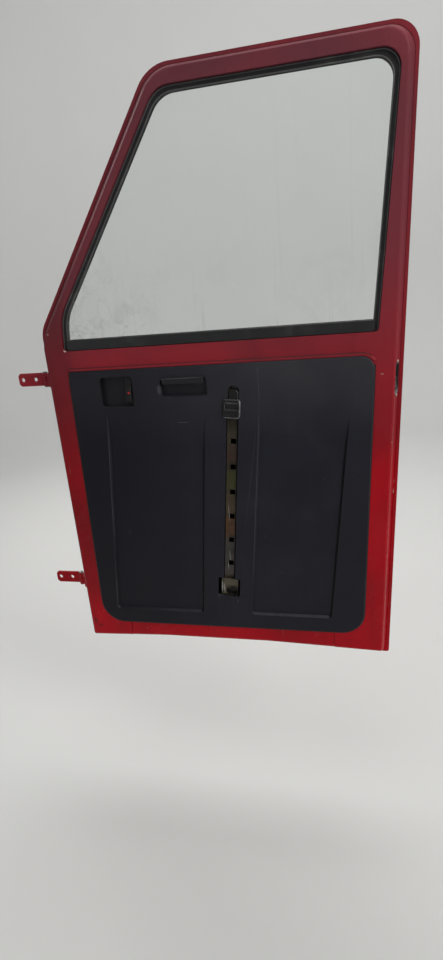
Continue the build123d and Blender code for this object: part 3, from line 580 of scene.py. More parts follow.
@dataclass(frozen=True)
class AgedRubber:
    """Soft black rubber, grey with dust along its upper faces."""

    name: str = "seal_rubber"
    black: Colour = (0.0075, 0.0078, 0.0085)
    bloom: Colour = (0.040, 0.040, 0.041)
    dust: Colour = (0.13, 0.12, 0.10)
    roughness: float = 0.46

    def material(self) -> bpy.types.Material:
        """Builds the rubber."""
        graph = Graph(self.name)
        bloom = graph.step(graph.noise(26.0, 5.0, distortion=0.6), 0.50, 0.80, 0.0, 0.6)
        colour = graph.mix(bloom, self.black, self.bloom)
        settled = graph.step(graph.facing(Z), 0.25, 0.9, 0.0, 0.55)
        dust = graph.times(settled, graph.step(graph.noise(60.0, 4.0), 0.42, 0.7))
        colour = graph.mix(dust, colour, self.dust)
        roughness = graph.math("MULTIPLY_ADD", graph.math("MAXIMUM", bloom, dust), 0.35, self.roughness)
        skin = graph.bump(graph.noise(700.0, 3.0), 0.15, 0.2)
        graph.set(Base_Color=colour, Roughness=roughness, Normal=skin)
        return graph.material


@dataclass(frozen=True)
class UsedGlass:
    """Clear safety glass with wiped streaks, fine scratches and pale smears low down."""

    name: str = "window_glass"
    tint: Colour = (0.93, 0.965, 0.955)
    smear: Colour = (0.62, 0.63, 0.60)
    smeared: Point = (190.0, -16.5, 345.0)
    reach: float = 150.0
    cleaner: Flat = (300.0, 520.0)
    ior: float = 1.5

    def smears(self, graph: Graph) -> Socket:
        """Returns the share of the wiped smears and hair scratches in the lower front corner."""
        middle = tuple(number * MM for number in self.smeared)
        far = graph.vector("DISTANCE", graph.place, middle).outputs["Value"]
        corner = graph.step(far, 0.2 * self.reach * MM, self.reach * MM, 1.0, 0.0)
        wiped = graph.step(graph.noise(16.0, 5.0, distortion=1.5), 0.48, 0.74, 0.0, 0.22)
        lines = graph.math("ABSOLUTE", graph.math("SUBTRACT", graph.noise(11.0, 1.0, distortion=1.4), 0.5))
        hairs = graph.step(lines, 0.002, 0.006, 0.20, 0.0)
        return graph.times(graph.math("ADD", wiped, hairs), corner)

    def material(self) -> bpy.types.Material:
        """Builds the glass."""
        graph = Graph(self.name)
        streaks = graph.step(graph.noise(120.0, 3.0, Along.LONG_Z), 0.60, 0.78, 0.0, 0.12)
        film = graph.step(graph.noise(7.0, 6.0, distortion=1.2), 0.50, 0.85, 0.0, 0.10)
        low = graph.rise(Z, self.cleaner, 1.0, 0.15)
        dirt = graph.math("ADD", graph.times(graph.math("ADD", streaks, film), low), self.smears(graph))
        milky = graph.math("MINIMUM", graph.times(dirt, 2.0), 1.0)
        graph.set(Base_Color=graph.mix(milky, self.tint, self.smear), Roughness=graph.times(dirt, 0.5),
                  Transmission_Weight=graph.math("SUBTRACT", 1.0, dirt), IOR=self.ior)
        return graph.material


@dataclass(frozen=True)
class PlatedSteel:
    """Dull yellow-grey plating on steel, with rust where it has gone, stains and painted shade in bands,
    light marks that are partly wear and partly painted glints, and painted shadows.
    """

    name: str = "plated_steel"
    plate: Colour = (0.036, 0.030, 0.019)
    pale: Colour = (0.060, 0.050, 0.033)
    rust: Colour = (0.085, 0.030, 0.013)
    rusty: float = 0.56
    metal: float = 0.50
    bands: tuple[Band, ...] = ()
    bare_and_glint: Colour = (0.36, 0.35, 0.32)
    shadow_tone: Colour = (0.006, 0.005, 0.004)
    rubbed_and_lit: tuple[Mark, ...] = ()
    painted_shadows: tuple[Mark, ...] = ()

    def material(self) -> bpy.types.Material:
        """Builds the plating."""
        graph = Graph(self.name)
        colour = graph.mix(graph.step(graph.noise(30.0, 5.0), 0.35, 0.65), self.plate, self.pale)
        ragged = graph.step(graph.noise(38.0, 4.0, distortion=0.6), 0.30, 0.55, 0.35, 1.0)
        for low, high, tone, share in self.bands:
            colour = graph.mix(graph.times(graph.within(Z, low, high, 14.0), ragged, share), colour, tone)
        broad = graph.step(graph.noise(9.0, 3.0), self.rusty, self.rusty + 0.14)
        rust = graph.times(broad, graph.step(graph.noise(130.0, 5.0), 0.38, 0.58))
        colour = graph.mix(rust, colour, self.rust)
        # Light marks toward bare steel: partly rubbed wear, partly painted glints.
        if self.rubbed_and_lit:
            colour = graph.mix(graph.times(graph.marks(self.rubbed_and_lit, 0.3), 0.8), colour, self.bare_and_glint)
        # Painted shadows: ragged near-black patches.
        if self.painted_shadows:
            colour = graph.mix(graph.marks(self.painted_shadows, 0.25), colour, self.shadow_tone)
        sound = graph.math("SUBTRACT", 1.0, rust)
        pits = graph.bump(graph.noise(340.0, 4.0), 0.25, 0.3)
        graph.set(Base_Color=colour, Roughness=graph.step(sound, 0.0, 1.0, 0.85, 0.50),
                  Metallic=graph.times(sound, self.metal), Normal=pits)
        return graph.material


@dataclass(frozen=True)
class WornSteel:
    """Bare or zinc-plated steel, greasy in places."""

    name: str = "worn_steel"
    steel: Colour = (0.36, 0.36, 0.355)
    grease: Colour = (0.030, 0.026, 0.020)
    roughness: float = 0.36
    greasy: float = 0.55

    def material(self) -> bpy.types.Material:
        """Builds the steel."""
        graph = Graph(self.name)
        spread = graph.noise(85.0, 5.0, distortion=0.6)
        grease = graph.step(spread, self.greasy, self.greasy + 0.16, 0.0, 0.85)
        colour = graph.mix(grease, self.steel, self.grease)
        roughness = graph.math("MULTIPLY_ADD", grease, 0.2, self.roughness)
        metal = graph.math("SUBTRACT", 1.0, graph.times(grease, 0.7))
        brushed = graph.bump(graph.noise(900.0, 2.0, Along.Z), 0.18, 0.08)
        graph.set(Base_Color=colour, Roughness=roughness, Metallic=metal, Normal=brushed)
        return graph.material


@dataclass(frozen=True)
class PaleGround:
    """Plain pale studio floor with the faintest unevenness."""

    name: str = "pale_ground"
    near: Colour = (0.60, 0.60, 0.59)
    far: Colour = (0.64, 0.64, 0.63)

    def material(self) -> bpy.types.Material:
        """Builds the floor's paper."""
        graph = Graph(self.name)
        colour = graph.mix(graph.noise(1.3, 3.0), self.near, self.far)
        fibre = graph.bump(graph.noise(90.0, 2.0), 0.05, 0.3)
        graph.set(Base_Color=colour, Roughness=0.85, Normal=fibre)
        return graph.material


Finish = AgedPaint | GrainedPlastic | AgedRubber | UsedGlass | PlatedSteel | WornSteel | PaleGround


@lru_cache(maxsize=None)
def made(finish: Finish) -> bpy.types.Material:
    """Returns a finish's material, built once."""
    return finish.material()


class Mesh:
    """Points and faces of a piece, in millimetres of the part's own frame, before it becomes an object."""

    def __init__(self) -> None:
        """Starts with no points."""
        self.points: list[Vector] = []
        self.faces: list[list[int]] = []

    def join(self, before: Sequence[int], after: Sequence[int]) -> None:
        """Lays faces between two rings with as many points.

        Args:
            before: Indices of the first ring.
            after: Indices of the second.
        """
        count = len(after)
        for i in range(count):
            j = (i + 1) % count
            self.faces.append([before[i], before[j], after[j], after[i]])

    def lay(self, rings: Iterable[Sequence[Vector]]) -> tuple[list[int], list[int]]:
        """Adds rings of points, each joined to the one before.

        Args:
            rings: Points of each ring.

        Returns:
            Indices of the first ring and of the last.
        """
        laid: list[list[int]] = []
        for points in rings:
            start = len(self.points)
            self.points.extend(points)
            laid.append(list(range(start, len(self.points))))
            if len(laid) > 1:
                self.join(laid[-2], laid[-1])
        return laid[0], laid[-1]

    def tube(self, rings: Iterable[Sequence[Vector]]) -> "Mesh":
        """Adds rings of points, joined in order and closed at both ends.

        Args:
            rings: Points of each ring.

        Returns:
            The mesh itself.
        """
        first, last = self.lay(rings)
        self.faces += [first[::-1], last]
        return self

    def turned(self, profile: Sequence[Flat], at: Vector, axis: Vector, segments: int = 28) -> "Mesh":
        """Adds a shape turned about an axis.

        Args:
            profile: Radius and height of each point, from one end of the axis to the other.
            at: Point on the axis where the height is 0.
            axis: Direction of the axis, of length 1.
            segments: Points in each ring.

        Returns:
            The mesh itself.
        """
        side = axis.orthogonal().normalized()
        across = axis.cross(side)
        return self.tube([at + axis * height + side * x + across * y for x, y in circle(radius, segments)]
                         for radius, height in profile)

    def rope(self, path: Sequence[Vector], radius: float, count: int = 8, closed: bool = False) -> "Mesh":
        """Adds a round section carried along a path.

        Args:
            path: Points that the section follows.
            radius: Radius of the section.
            count: Points round the section.
            closed: Whether the path joins up.

        Returns:
            The mesh itself.
        """
        last = len(path) - 1
        side: Vector | None = None
        rings = []
        for i, point in enumerate(path):
            before = path[i - 1] if i or closed else path[0]
            after = path[(i + 1) % len(path)] if i < last or closed else path[-1]
            ahead = (after - before).normalized()
            side = ahead.orthogonal() if side is None else side - ahead * side.dot(ahead)
            side.normalize()
            across = ahead.cross(side)
            rings.append([point + (side * x + across * y) for x, y in circle(radius, count)])
        if not closed:
            return self.tube(rings)
        start, end = self.lay(rings)
        twist = min(range(count), key=lambda k: (self.points[end[0]] - self.points[start[k]]).length)
        self.join(end, start[twist:] + start[:twist])
        return self

    def thing(self, name: str, finish: Finish) -> bpy.types.Object:
        """Turns the mesh into an object that is shaded smoothly up to its creases.

        Args:
            name: Name of the object.
            finish: What it looks like.

        Returns:
            The object.
        """
        data = bpy.data.meshes.new(name)
        data.from_pydata([point * MM for point in self.points], [], self.faces)
        data.validate()
        for polygon in data.polygons:
            polygon.use_smooth = True
        data.set_sharp_from_angle(angle=CREASE)
        data.materials.append(made(finish))
        thing = bpy.data.objects.new(name, data)
        bpy.context.scene.collection.objects.link(thing)
        return thing

    def piece(self, name: str, finish: Finish, slot: Slot) -> None:
        """Turns the mesh into a piece that moves with the door.

        Args:
            name: Name of the piece.
            finish: What it looks like.
            slot: Not used.
        """
        thing = self.thing(name, finish)
        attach(thing, DOOR)
        log.info("piece %s, %d faces", name, len(self.faces))


def rounded_path(corners: Sequence[Flat], radii: Sequence[float], steps: int = 8) -> list[Flat]:
    """Open path on straight runs, rounded at its inner corners.

    Args:
        corners: Corner points, ends included.
        radii: One radius for each inner corner.
        steps: Points in each rounded corner.

    Returns:
        Points along the path.
    """
    path = [Vector(corners[0])]
    for i, radius in enumerate(radii, start=1):
        here = Vector(corners[i])
        back = (Vector(corners[i - 1]) - here).normalized()
        on = (Vector(corners[i + 1]) - here).normalized()
        half = back.angle(on) / 2
        reach = radius / math.tan(half)
        centre = here + (back + on).normalized() * (radius / math.sin(half))
        start = here + back * reach - centre
        end = here + on * reach - centre
        sweep = start.angle_signed(end)
        for k in range(steps + 1):
            turn = -sweep * k / steps
            path.append(centre + Matrix.Rotation(turn, 2) @ start)
    path.append(Vector(corners[-1]))
    return [(point.x, point.y) for point in path]


def fine(runs: Sequence[Flat], longest: float) -> list[Flat]:
    """Adds points to a path.

    Args:
        runs: Points of the path.
        longest: Length that none of its runs is longer than afterwards.

    Returns:
        Points of the finer path.
    """
    path = [runs[0]]
    for (x0, z0), (x1, z1) in zip(runs, runs[1:]):
        parts = max(1, math.ceil(math.hypot(x1 - x0, z1 - z0) / longest))
        path.extend((x0 + (x1 - x0) * k / parts, z0 + (z1 - z0) * k / parts) for k in range(1, parts + 1))
    return path


def circle(radius: float, count: int = 24) -> list[Flat]:
    """Lays points round a circle about the origin.

    Args:
        radius: Radius of the circle.
        count: Number of points.

    Returns:
        The points.
    """
    return [(radius * math.cos(2 * math.pi * i / count), radius * math.sin(2 * math.pi * i / count))
            for i in range(count)]


@dataclass
class SoftShading:
    """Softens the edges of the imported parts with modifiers, without touching their meshes."""

    sharp: float = math.radians(33.0)
    merge: float = 0.01
    merge_again: float = 0.004
    segments: int = 2
    weight: int = 60
    tree_name: str = "smooth_up_to_edges"

    def group(self) -> bpy.types.NodeTree:
        """Builds the modifier that shades smoothly up to edges sharper than an angle."""
        tree = bpy.data.node_groups.new(self.tree_name, "GeometryNodeTree")
        for direction in ("INPUT", "OUTPUT"):
            tree.interface.new_socket("Geometry", in_out=direction, socket_type="NodeSocketGeometry")
        start, faces, edges, angle, smooth, end = (tree.nodes.new(kind) for kind in (
            "NodeGroupInput", "GeometryNodeSetShadeSmooth", "GeometryNodeSetShadeSmooth",
            "GeometryNodeInputMeshEdgeAngle", "FunctionNodeCompare", "NodeGroupOutput"))
        faces.domain, edges.domain = "FACE", "EDGE"
        smooth.data_type, smooth.operation = "FLOAT", "LESS_EQUAL"
        smooth.inputs[1].default_value = self.sharp
        for output, socket in (
                (start.outputs[0], faces.inputs["Geometry"]), (faces.outputs[0], edges.inputs["Geometry"]),
                (angle.outputs["Unsigned Angle"], smooth.inputs[0]),
                (smooth.outputs[0], edges.inputs["Shade Smooth"]), (edges.outputs[0], end.inputs[0])):
            tree.links.new(output, socket)
        return tree

    def apply(self, node: str, edge: Edge) -> None:
        """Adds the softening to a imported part.

        Args:
            node: Name of the part.
            edge: How far its edges are softened.
        """
        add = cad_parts[node].modifiers.new
        add("weld", "WELD").merge_threshold = self.merge * MM
        bevel = add("soft_edges", "BEVEL")
        bevel.width = edge.value * MM
        bevel.segments = self.segments
        bevel.limit_method = "ANGLE"
        bevel.angle_limit = CREASE
        bevel.miter_outer = "MITER_ARC"
        add("clean", "WELD").merge_threshold = self.merge_again * MM
        add("shading", "NODES").node_group = bpy.data.node_groups.get(self.tree_name) or self.group()
        flat = add("flat_faces", "WEIGHTED_NORMAL")
        flat.keep_sharp = True
        flat.weight = self.weight


def dress(finish: Finish, edge: Edge, *nodes: str) -> None:
    """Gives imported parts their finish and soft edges.

    Args:
        finish: What they look like.
        edge: How far their edges are softened.
        nodes: Names of the parts.
    """
    for node in nodes:
        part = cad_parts[node]
        part.data.materials.clear()
        part.data.materials.append(made(finish))
        SoftShading().apply(node, edge)
        log.info("dressed %s in %s", node, finish.name)


@dataclass(frozen=True)
class Wall:
    """Sloping wall of a stile, from the frame's face to the skin, in millimetres."""

    x: float
    run: float
    lean: float = 0.0
    level: float = 0.0
    depth: float = 27.0

    def point(self, y: float, z: float) -> Vector:
        """Returns the wall's point at a depth and height."""
        share = (y - FACE) / self.depth
        return Vector((self.x + (z - self.level) * math.tan(self.lean) + self.run * share, y, z))

    def out(self) -> Vector:
        """Returns the direction that the wall faces."""
        return Vector((self.depth, -self.run, 0.0)).normalized()


@dataclass
class WindowLine:
    """Edge of the window in the inner frame's face, in millimetres."""

    rail: Box = measured("belt_rail")
    run: Box = measured("top_run")
    rear_margin: float = 12.0
    top_margin: float = 6.0
    belt: float = 362.46
    sill: float = 294.0
    slide_lean: float = math.radians(5.7)
    pillar_lean: float = math.radians(33.8)
    rear_lean: float = math.radians(4.9)
    radii: tuple[float, float, float] = (90.0, 50.0, 30.0)

    def path(self, inset: float, foot: float) -> list[Flat]:
        """Path up the front, along the top and down the rear.

        Args:
            inset: How far inside the window's edge it runs.
            foot: Height of its two ends.

        Returns:
            Points of the path.
        """
        front = self.rail.low.x + inset / math.cos(self.slide_lean)
        rear = self.rail.high.x - self.rear_margin - inset / math.cos(self.rear_lean)
        turn = math.tan(self.pillar_lean) - math.tan(self.slide_lean)
        belt = self.belt + inset * (1 / math.cos(self.slide_lean) - 1 / math.cos(self.pillar_lean)) / turn
        top = self.run.high.z - self.top_margin - inset
        belt_x = front + (belt - self.sill) * math.tan(self.slide_lean)
        corners = [
            (front + (foot - self.sill) * math.tan(self.slide_lean), foot),
            (belt_x, belt),
            (belt_x + (top - belt) * math.tan(self.pillar_lean), top),
            (rear + (top - self.sill) * math.tan(self.rear_lean), top),
            (rear + (foot - self.sill) * math.tan(self.rear_lean), foot),
        ]
        return rounded_path(corners, self.radii)


@dataclass
class DoorShell:
    """Pressed and painted inner frame and outer skin."""

    # The frame's paint darkens the front stile and the belt bead's upper shoulder as painted shade.
    paint: AgedPaint = AgedPaint(
        shaded=0.34, shoulder_shade=0.7,
        chips=(
            Mark(749.6, -28.5, 87.0, 1.1, 3.4), Mark(756.0, -4.0, 2.0, 3.4, 3.0),
            Mark(754.6, -4.0, -19.0, 3.6, 4.4), Mark(746.7, -29.0, -60.0, 1.0, 1.4),
            Mark(730.6, -29.0, 218.0, 3.6, 0.5), Mark(107.0, -29.0, 296.0, 3.2, 3.6),
            Mark(76.0, -29.0, 330.0, 1.0, 1.4), Mark(200.0, -29.0, -352.0, 1.4, 1.0),
        ),
        dark_spots=(
            Mark(70.9, -29.0, -338.0, 6.0, 8.0), Mark(82.0, -29.0, -350.0, 7.0, 4.0),
            Mark(745.0, -29.0, -112.5, 2.0, 6.0),
        ),
    )
    # The skin's paint turns near black on its inner face, a painted shade in the door's hollow.
    skin_paint: AgedPaint = AgedPaint(name="skin_paint", top_sheen_and_film=0.48, hollow_shade=(0.012, 0.011, 0.011))
    # Near-black red for the painted shadow lines at the laps over the bottom rail.
    joint_shadow_paint: AgedPaint = AgedPaint(
        name="joint_shadow_paint", fresh=(0.045, 0.002, 0.003), dull=(0.028, 0.002, 0.003), dusty=0.0, settled=0.0,
    )
    frame_parts: tuple[str, ...] = (
        "front_stile", "window_pillar", "header", "rear_stile", "belt_rail", "bottom_rail",
    )
    rail: Box = measured("bottom_rail")
    joint_top: float = -334.0
    joint_feet: Flat = (-364.0, -368.0)
    lap: float = 0.3
    shadow_line_radius: float = 0.8

    def joints(self) -> None:
        """Builds near-black beads where the stiles lap over the bottom rail, as painted shadow lines of the
        laps.
        """
        mesh = Mesh()
        for x, foot in zip((self.rail.low.x + self.lap, self.rail.high.x - self.lap), self.joint_feet):
            mesh.rope([Vector((x, self.rail.low.y, z)) for z in (self.joint_top, foot)], self.shadow_line_radius)
        mesh.piece("joint_shadow_bead", self.joint_shadow_paint, Slot.PAINT)

    def build(self) -> None:
        """Paints the pressings and lays painted shadow lines at their joints."""
        dress(self.paint, Edge.PRESSED, *self.frame_parts)
        dress(self.skin_paint, Edge.PRESSED, "outer_skin")
        self.joints()


@dataclass
class Window:
    """Glass in its rubber run, with a strip on each side of the sill."""

    line: WindowLine = field(default_factory=WindowLine)
    inner_strip: Box = measured("inner_sill_strip")
    outer_strip: Box = measured("outer_sill_strip")
    rubber: AgedRubber = AgedRubber()
    # Rubber ten times lighter than the run's, a painted highlight along the lips.
    lit_lip_rubber: AgedRubber = AgedRubber(
        name="lit_lip_rubber", black=(0.075, 0.076, 0.078), bloom=(0.19, 0.19, 0.19), roughness=0.28,
    )
    glass: UsedGlass = UsedGlass()
    lip_radius: float = 1.1
    lip_points: int = 10
    lip_run: float = 40.0
    lip_inset: float = 9.6
    frame_inset: float = 1.6
    proud: float = 0.3
    feet: Flat = (297.0, 300.0)
    sill_edge: float = 294.7
    chamfer: float = 2.0
    shy: float = 0.4

    def lips(self) -> None:
        """Builds the rolled lips on the run's inner and outer side, against the glass and the frame, in a
        lighter rubber that paints their highlights.
        """
        inner, outer = self.line.run.low.y - self.proud, self.line.run.high.y + self.proud
        for name, inset, depth, foot in (
                ("run_inner_lip", self.lip_inset, inner, self.feet[0]),
                ("run_frame_lip", self.frame_inset, inner, self.feet[0]),
                ("run_outer_lip", self.lip_inset, outer, self.feet[1])):
            path = [Vector((x, depth, z)) for x, z in fine(self.line.path(inset, foot), self.lip_run)]
            Mesh().rope(path, self.lip_radius, self.lip_points).piece(name, self.lit_lip_rubber, Slot.RUBBER)

    def strip_end(self, name: str, strip: Box, section: Sequence[Flat]) -> None:
        """Fills the wedge between a sill strip's square rear end and the leaning run.

        Args:
            name: Name of the filler.
            strip: Box of the strip.
            section: Depth and height of each corner of the filler's section.
        """
        inset = self.lip_inset + self.lip_radius
        square = [Vector((strip.high.x - self.shy, y, z)) for y, z in section]
        leaning = [Vector((self.line.path(inset, z)[-1][0], y, z)) for y, z in section]
        Mesh().tube([square, leaning]).piece(name, self.rubber, Slot.RUBBER)

    def strip_ends(self) -> None:
        """Closes the rear end of both sill strips."""
        low, high = self.inner_strip.low, self.inner_strip.high
        face, top = low.y + self.shy, high.z - self.shy
        self.strip_end("inner_strip_end", self.inner_strip, [
            (face, self.sill_edge), (high.y, self.sill_edge), (high.y, top),
            (face + self.chamfer, top), (face, top - self.chamfer),
        ])
        low, high = self.outer_strip.low, self.outer_strip.high
        self.strip_end("outer_strip_end", self.outer_strip, [
            (low.y, self.sill_edge), (high.y - self.chamfer, self.sill_edge), (low.y, high.z - self.shy),
        ])

    def build(self) -> None:
        """Dresses the window and adds the lips and the strips' ends."""
        dress(self.rubber, Edge.RUBBER, "front_run", "top_run", "rear_run", "inner_sill_strip",
              "outer_sill_strip")
        dress(self.glass, Edge.GLASS, "window_glass")
        self.lips()
        self.strip_ends()


@dataclass
class TrimPanel:
    """Moulded inner panel with a near-black bead round its edge as a painted shadow line, with its hand
    wells and release lever.
    """

    plastic: GrainedPlastic = GrainedPlastic(
        rubbed_and_lit=0.7, sunk_shade=0.9, dust_and_sheen=0.8, shaded=0.85,
        # Light scuffs; the mark at x 298.6 is a painted highlight on the pocket's lit left wall.
        scuffs_and_highlights=(
            Mark(344.5, -31.5, 139.5, 14.0, 0.9), Mark(618.8, -31.5, 14.4, 1.7, 6.5),
            Mark(525.0, -31.5, -196.9, 6.5, 1.1), Mark(494.2, -31.5, -113.7, 0.6, 10.0),
            Mark(189.8, -31.5, -107.1, 0.6, 10.0), Mark(501.6, -31.5, 237.3, 1.6, 4.0),
            Mark(393.0, -31.5, -329.0, 2.0, 1.2), Mark(298.6, -31.5, 208.0, 2.6, 9.0),
            Mark(501.2, -31.5, 205.0, 0.7, 38.0), Mark(382.5, -31.5, -256.0, 1.4, 3.0),
            Mark(424.6, -31.5, -267.0, 1.3, 4.0),
        ),
    )
    dish_plastic: GrainedPlastic = GrainedPlastic(
        name="dish_plastic", clean=(0.0066, 0.0066, 0.0094), faded=(0.0096, 0.0096, 0.0130), settled=0.28,
        roughness=0.44,
    )
    # Lighter than the panel's plastic, as painted light in the pocket's shaded hollow; its two marks are
    # painted highlights on the left wall and along the lip.
    lit_pocket_plastic: GrainedPlastic = GrainedPlastic(
        name="lit_pocket_plastic", clean=(0.0090, 0.0090, 0.0140), faded=(0.0130, 0.0130, 0.0185), settled=0.28,
        rubbed_and_lit=0.8, roughness=0.44,
        scuffs_and_highlights=(Mark(302.0, -31.5, 208.0, 3.5, 9.0), Mark(351.4, -36.0, 229.8, 47.0, 1.1)),
    )
    lever_plastic: GrainedPlastic = GrainedPlastic(
        name="lever_plastic", clean=(0.0075, 0.0075, 0.0080), faded=(0.012, 0.012, 0.013), grain=1600.0,
        dusty=0.15, roughness=0.36, paint_marks=(Mark(233.4, -30.5, 204.2, 2.8, 2.6),),
        # The light mark on the lever is a painted highlight.
        scuffs_and_highlights=(Mark(237.5, -31.0, 213.0, 1.2, 5.0),),
    )
    # Near-black rubber for the painted shadow line round the panel.
    edge_shadow_rubber: AgedRubber = AgedRubber(
        name="edge_shadow_rubber", black=(0.004, 0.004, 0.0045), bloom=(0.012, 0.012, 0.012),
        dust=(0.03, 0.03, 0.028),
    )
    corners: tuple[Flat, ...] = ((107.3, 236.0), (96.36, -335.0), (693.77, -335.0), (718.7, 236.0))
    radii: Flat = (50.0, 50.0)
    turn_points: int = 12
    bead: float = 1.4
    bead_run: float = 60.0
    squash: float = 0.35

    def edge_bead(self) -> None:
        """Builds the near-black bead round the panel's edge on the frame, a painted shadow line."""
        runs = fine(rounded_path(self.corners, self.radii, self.turn_points), self.bead_run)
        path = [Vector((x, FACE - self.squash * self.bead, z)) for x, z in runs]
        Mesh().rope(path, self.bead).piece("panel_shadow_bead", self.edge_shadow_rubber, Slot.RUBBER)

    def build(self) -> None:
        """Dresses the panel and what it holds, and adds its painted shadow bead."""
        dress(self.plastic, Edge.MOULDED, "door_panel")
        dress(self.lit_pocket_plastic, Edge.MOULDED, "pull_pocket")
        dress(self.dish_plastic, Edge.MOULDED, "release_dish")
        dress(self.lever_plastic, Edge.MOULDED, "release_lever")
        self.edge_bead()


@dataclass
class WindowLift:
    """Perforated strip, its clasp, the finger catch and the carrier under the glass."""

    plated: PlatedSteel = PlatedSteel(
        plate=(0.030, 0.024, 0.015), pale=(0.052, 0.042, 0.027), rusty=0.58,
        bands=(
            # The first band darkens the strip's top, behind the catch and the panel, as painted shade; the
            # others are stains.
            (196.0, 264.0, (0.010, 0.009, 0.008), 0.7), (44.0, 96.0, (0.060, 0.026, 0.022), 0.6),
            (-14.0, 40.0, (0.056, 0.058, 0.018), 0.8), (-68.0, -8.0, (0.080, 0.058, 0.036), 0.8),
            (-120.0, -60.0, (0.110, 0.052, 0.024), 0.85), (-215.0, -112.0, (0.075, 0.068, 0.072), 0.6),
            (-346.0, -205.0, (0.085, 0.072, 0.050), 0.7),
        ),
        # The strip's light lines are partly rubbed wear, partly painted glints along its edges.
        rubbed_and_lit=(
            Mark(413.5, -28.0, -160.0, 0.7, 14.0), Mark(408.0, -28.0, -184.0, 0.8, 12.0),
            Mark(419.5, -28.0, -60.0, 0.6, 20.0),
        ),
        # The dark mark is a painted shadow at the strip's foot by the clasp.
        painted_shadows=(Mark(409.0, -26.0, -247.0, 13.0, 10.0),),
    )
    # The clasp's light marks are painted glints on its left flange; its dark mark is a painted shadow at its
    # lower right.
    clasp: PlatedSteel = PlatedSteel(
        name="clasp_steel", plate=(0.055, 0.046, 0.030), pale=(0.092, 0.079, 0.056), rusty=0.60,
        rubbed_and_lit=(Mark(391.2, -28.0, -229.0, 2.2, 15.0), Mark(396.0, -29.0, -236.0, 1.4, 13.0)),
        painted_shadows=(Mark(415.0, -27.0, -247.5, 17.5, 18.5),),
    )
    catch_plastic: GrainedPlastic = GrainedPlastic(
        name="catch_plastic", clean=(0.0070, 0.0070, 0.0078), faded=(0.012, 0.012, 0.013), grain=1500.0,
        # The catch's right edge and underside are lightened: partly wear, partly painted highlight.
        dusty=0.18, roughness=0.36, handled_and_lit=0.62,
    )
    carrier_steel: WornSteel = WornSteel(name="carrier_steel", steel=(0.10, 0.10, 0.10), roughness=0.55)
    lean: float = math.radians(5.7)
    catch_at: Flat = (444.62, 164.35)
    catch_middle: float = -3.5
    catch: Box = measured("lift_catch")
    rib_length: float = 24.0
    rib_radius: float = 0.7
    rib_height: float = 0.6
    ribs: tuple[float, ...] = (-13.5, -11.0, 13.0, 15.5)

    def catch_ribs(self) -> None:
        """Builds the finger ribs across the catch."""
        along = Vector((math.cos(self.lean), 0.0, -math.sin(self.lean)))
        up = Vector((math.sin(self.lean), 0.0, math.cos(self.lean)))
        depth = self.catch.low.y + self.rib_height * self.rib_radius
        middle = Vector((self.catch_at[0], depth, self.catch_at[1]))
        reach = along * (self.rib_length / 2)
        mesh = Mesh()
        for height in self.ribs:
            centre = middle + up * height + along * self.catch_middle
            mesh.rope([centre - reach, centre, centre + reach], self.rib_radius)
        mesh.piece("catch_ribs", self.catch_plastic, Slot.BLACK)

    def build(self) -> None:
        """Dresses the lift and adds the catch's ribs."""
        dress(self.plated, Edge.SHEET, "lift_strip")
        dress(self.clasp, Edge.SHEET, "strip_bracket")
        dress(self.catch_plastic, Edge.MOULDED, "lift_catch")
        dress(self.carrier_steel, Edge.SHEET, "glass_carrier")
        self.catch_ribs()


@dataclass
class RimLatch:
    """Latch in the rear wall, held by two screws."""

    plate: PlatedSteel = PlatedSteel(
        name="latch_plate", plate=(0.012, 0.012, 0.013), pale=(0.030, 0.030, 0.031), rusty=0.62, metal=0.6,
        bands=((168.0, 193.0, (0.34, 0.35, 0.37), 0.9), (222.0, 232.0, (0.10, 0.10, 0.105), 0.7)),
    )
    bolt: WornSteel = WornSteel(name="latch_bolt", steel=(0.20, 0.20, 0.205), greasy=0.52, roughness=0.32)
    screw: WornSteel = WornSteel(name="screw_steel", steel=(0.40, 0.38, 0.33), greasy=0.60)
    case: Box = measured("latch_case")
    screw_rise: float = 31.0
    wall: Wall = Wall(x=752.70, run=10.007, lean=math.radians(2.1))
    profile: tuple[Flat, ...] = (
        (3.3, -0.2), (3.3, 0.5), (2.838, 1.1), (1.65, 1.45), (1.386, 1.0), (0.3, 0.7),
    )

    def screws(self) -> None:
        """Builds the two screws."""
        middle = self.case.middle
        wall = replace(self.wall, level=middle.z)
        mesh = Mesh()
        for rise in (-self.screw_rise, self.screw_rise):
            mesh.turned(self.profile, wall.point(middle.y, middle.z + rise), wall.out(), segments=20)
        mesh.piece("latch_screws", self.screw, Slot.PLATED)

    def build(self) -> None:
        """Dresses the latch and adds its screws."""
        dress(self.plate, Edge.SHEET, "latch_case")
        dress(self.bolt, Edge.SHEET, "latch_bolt")
        self.screws()


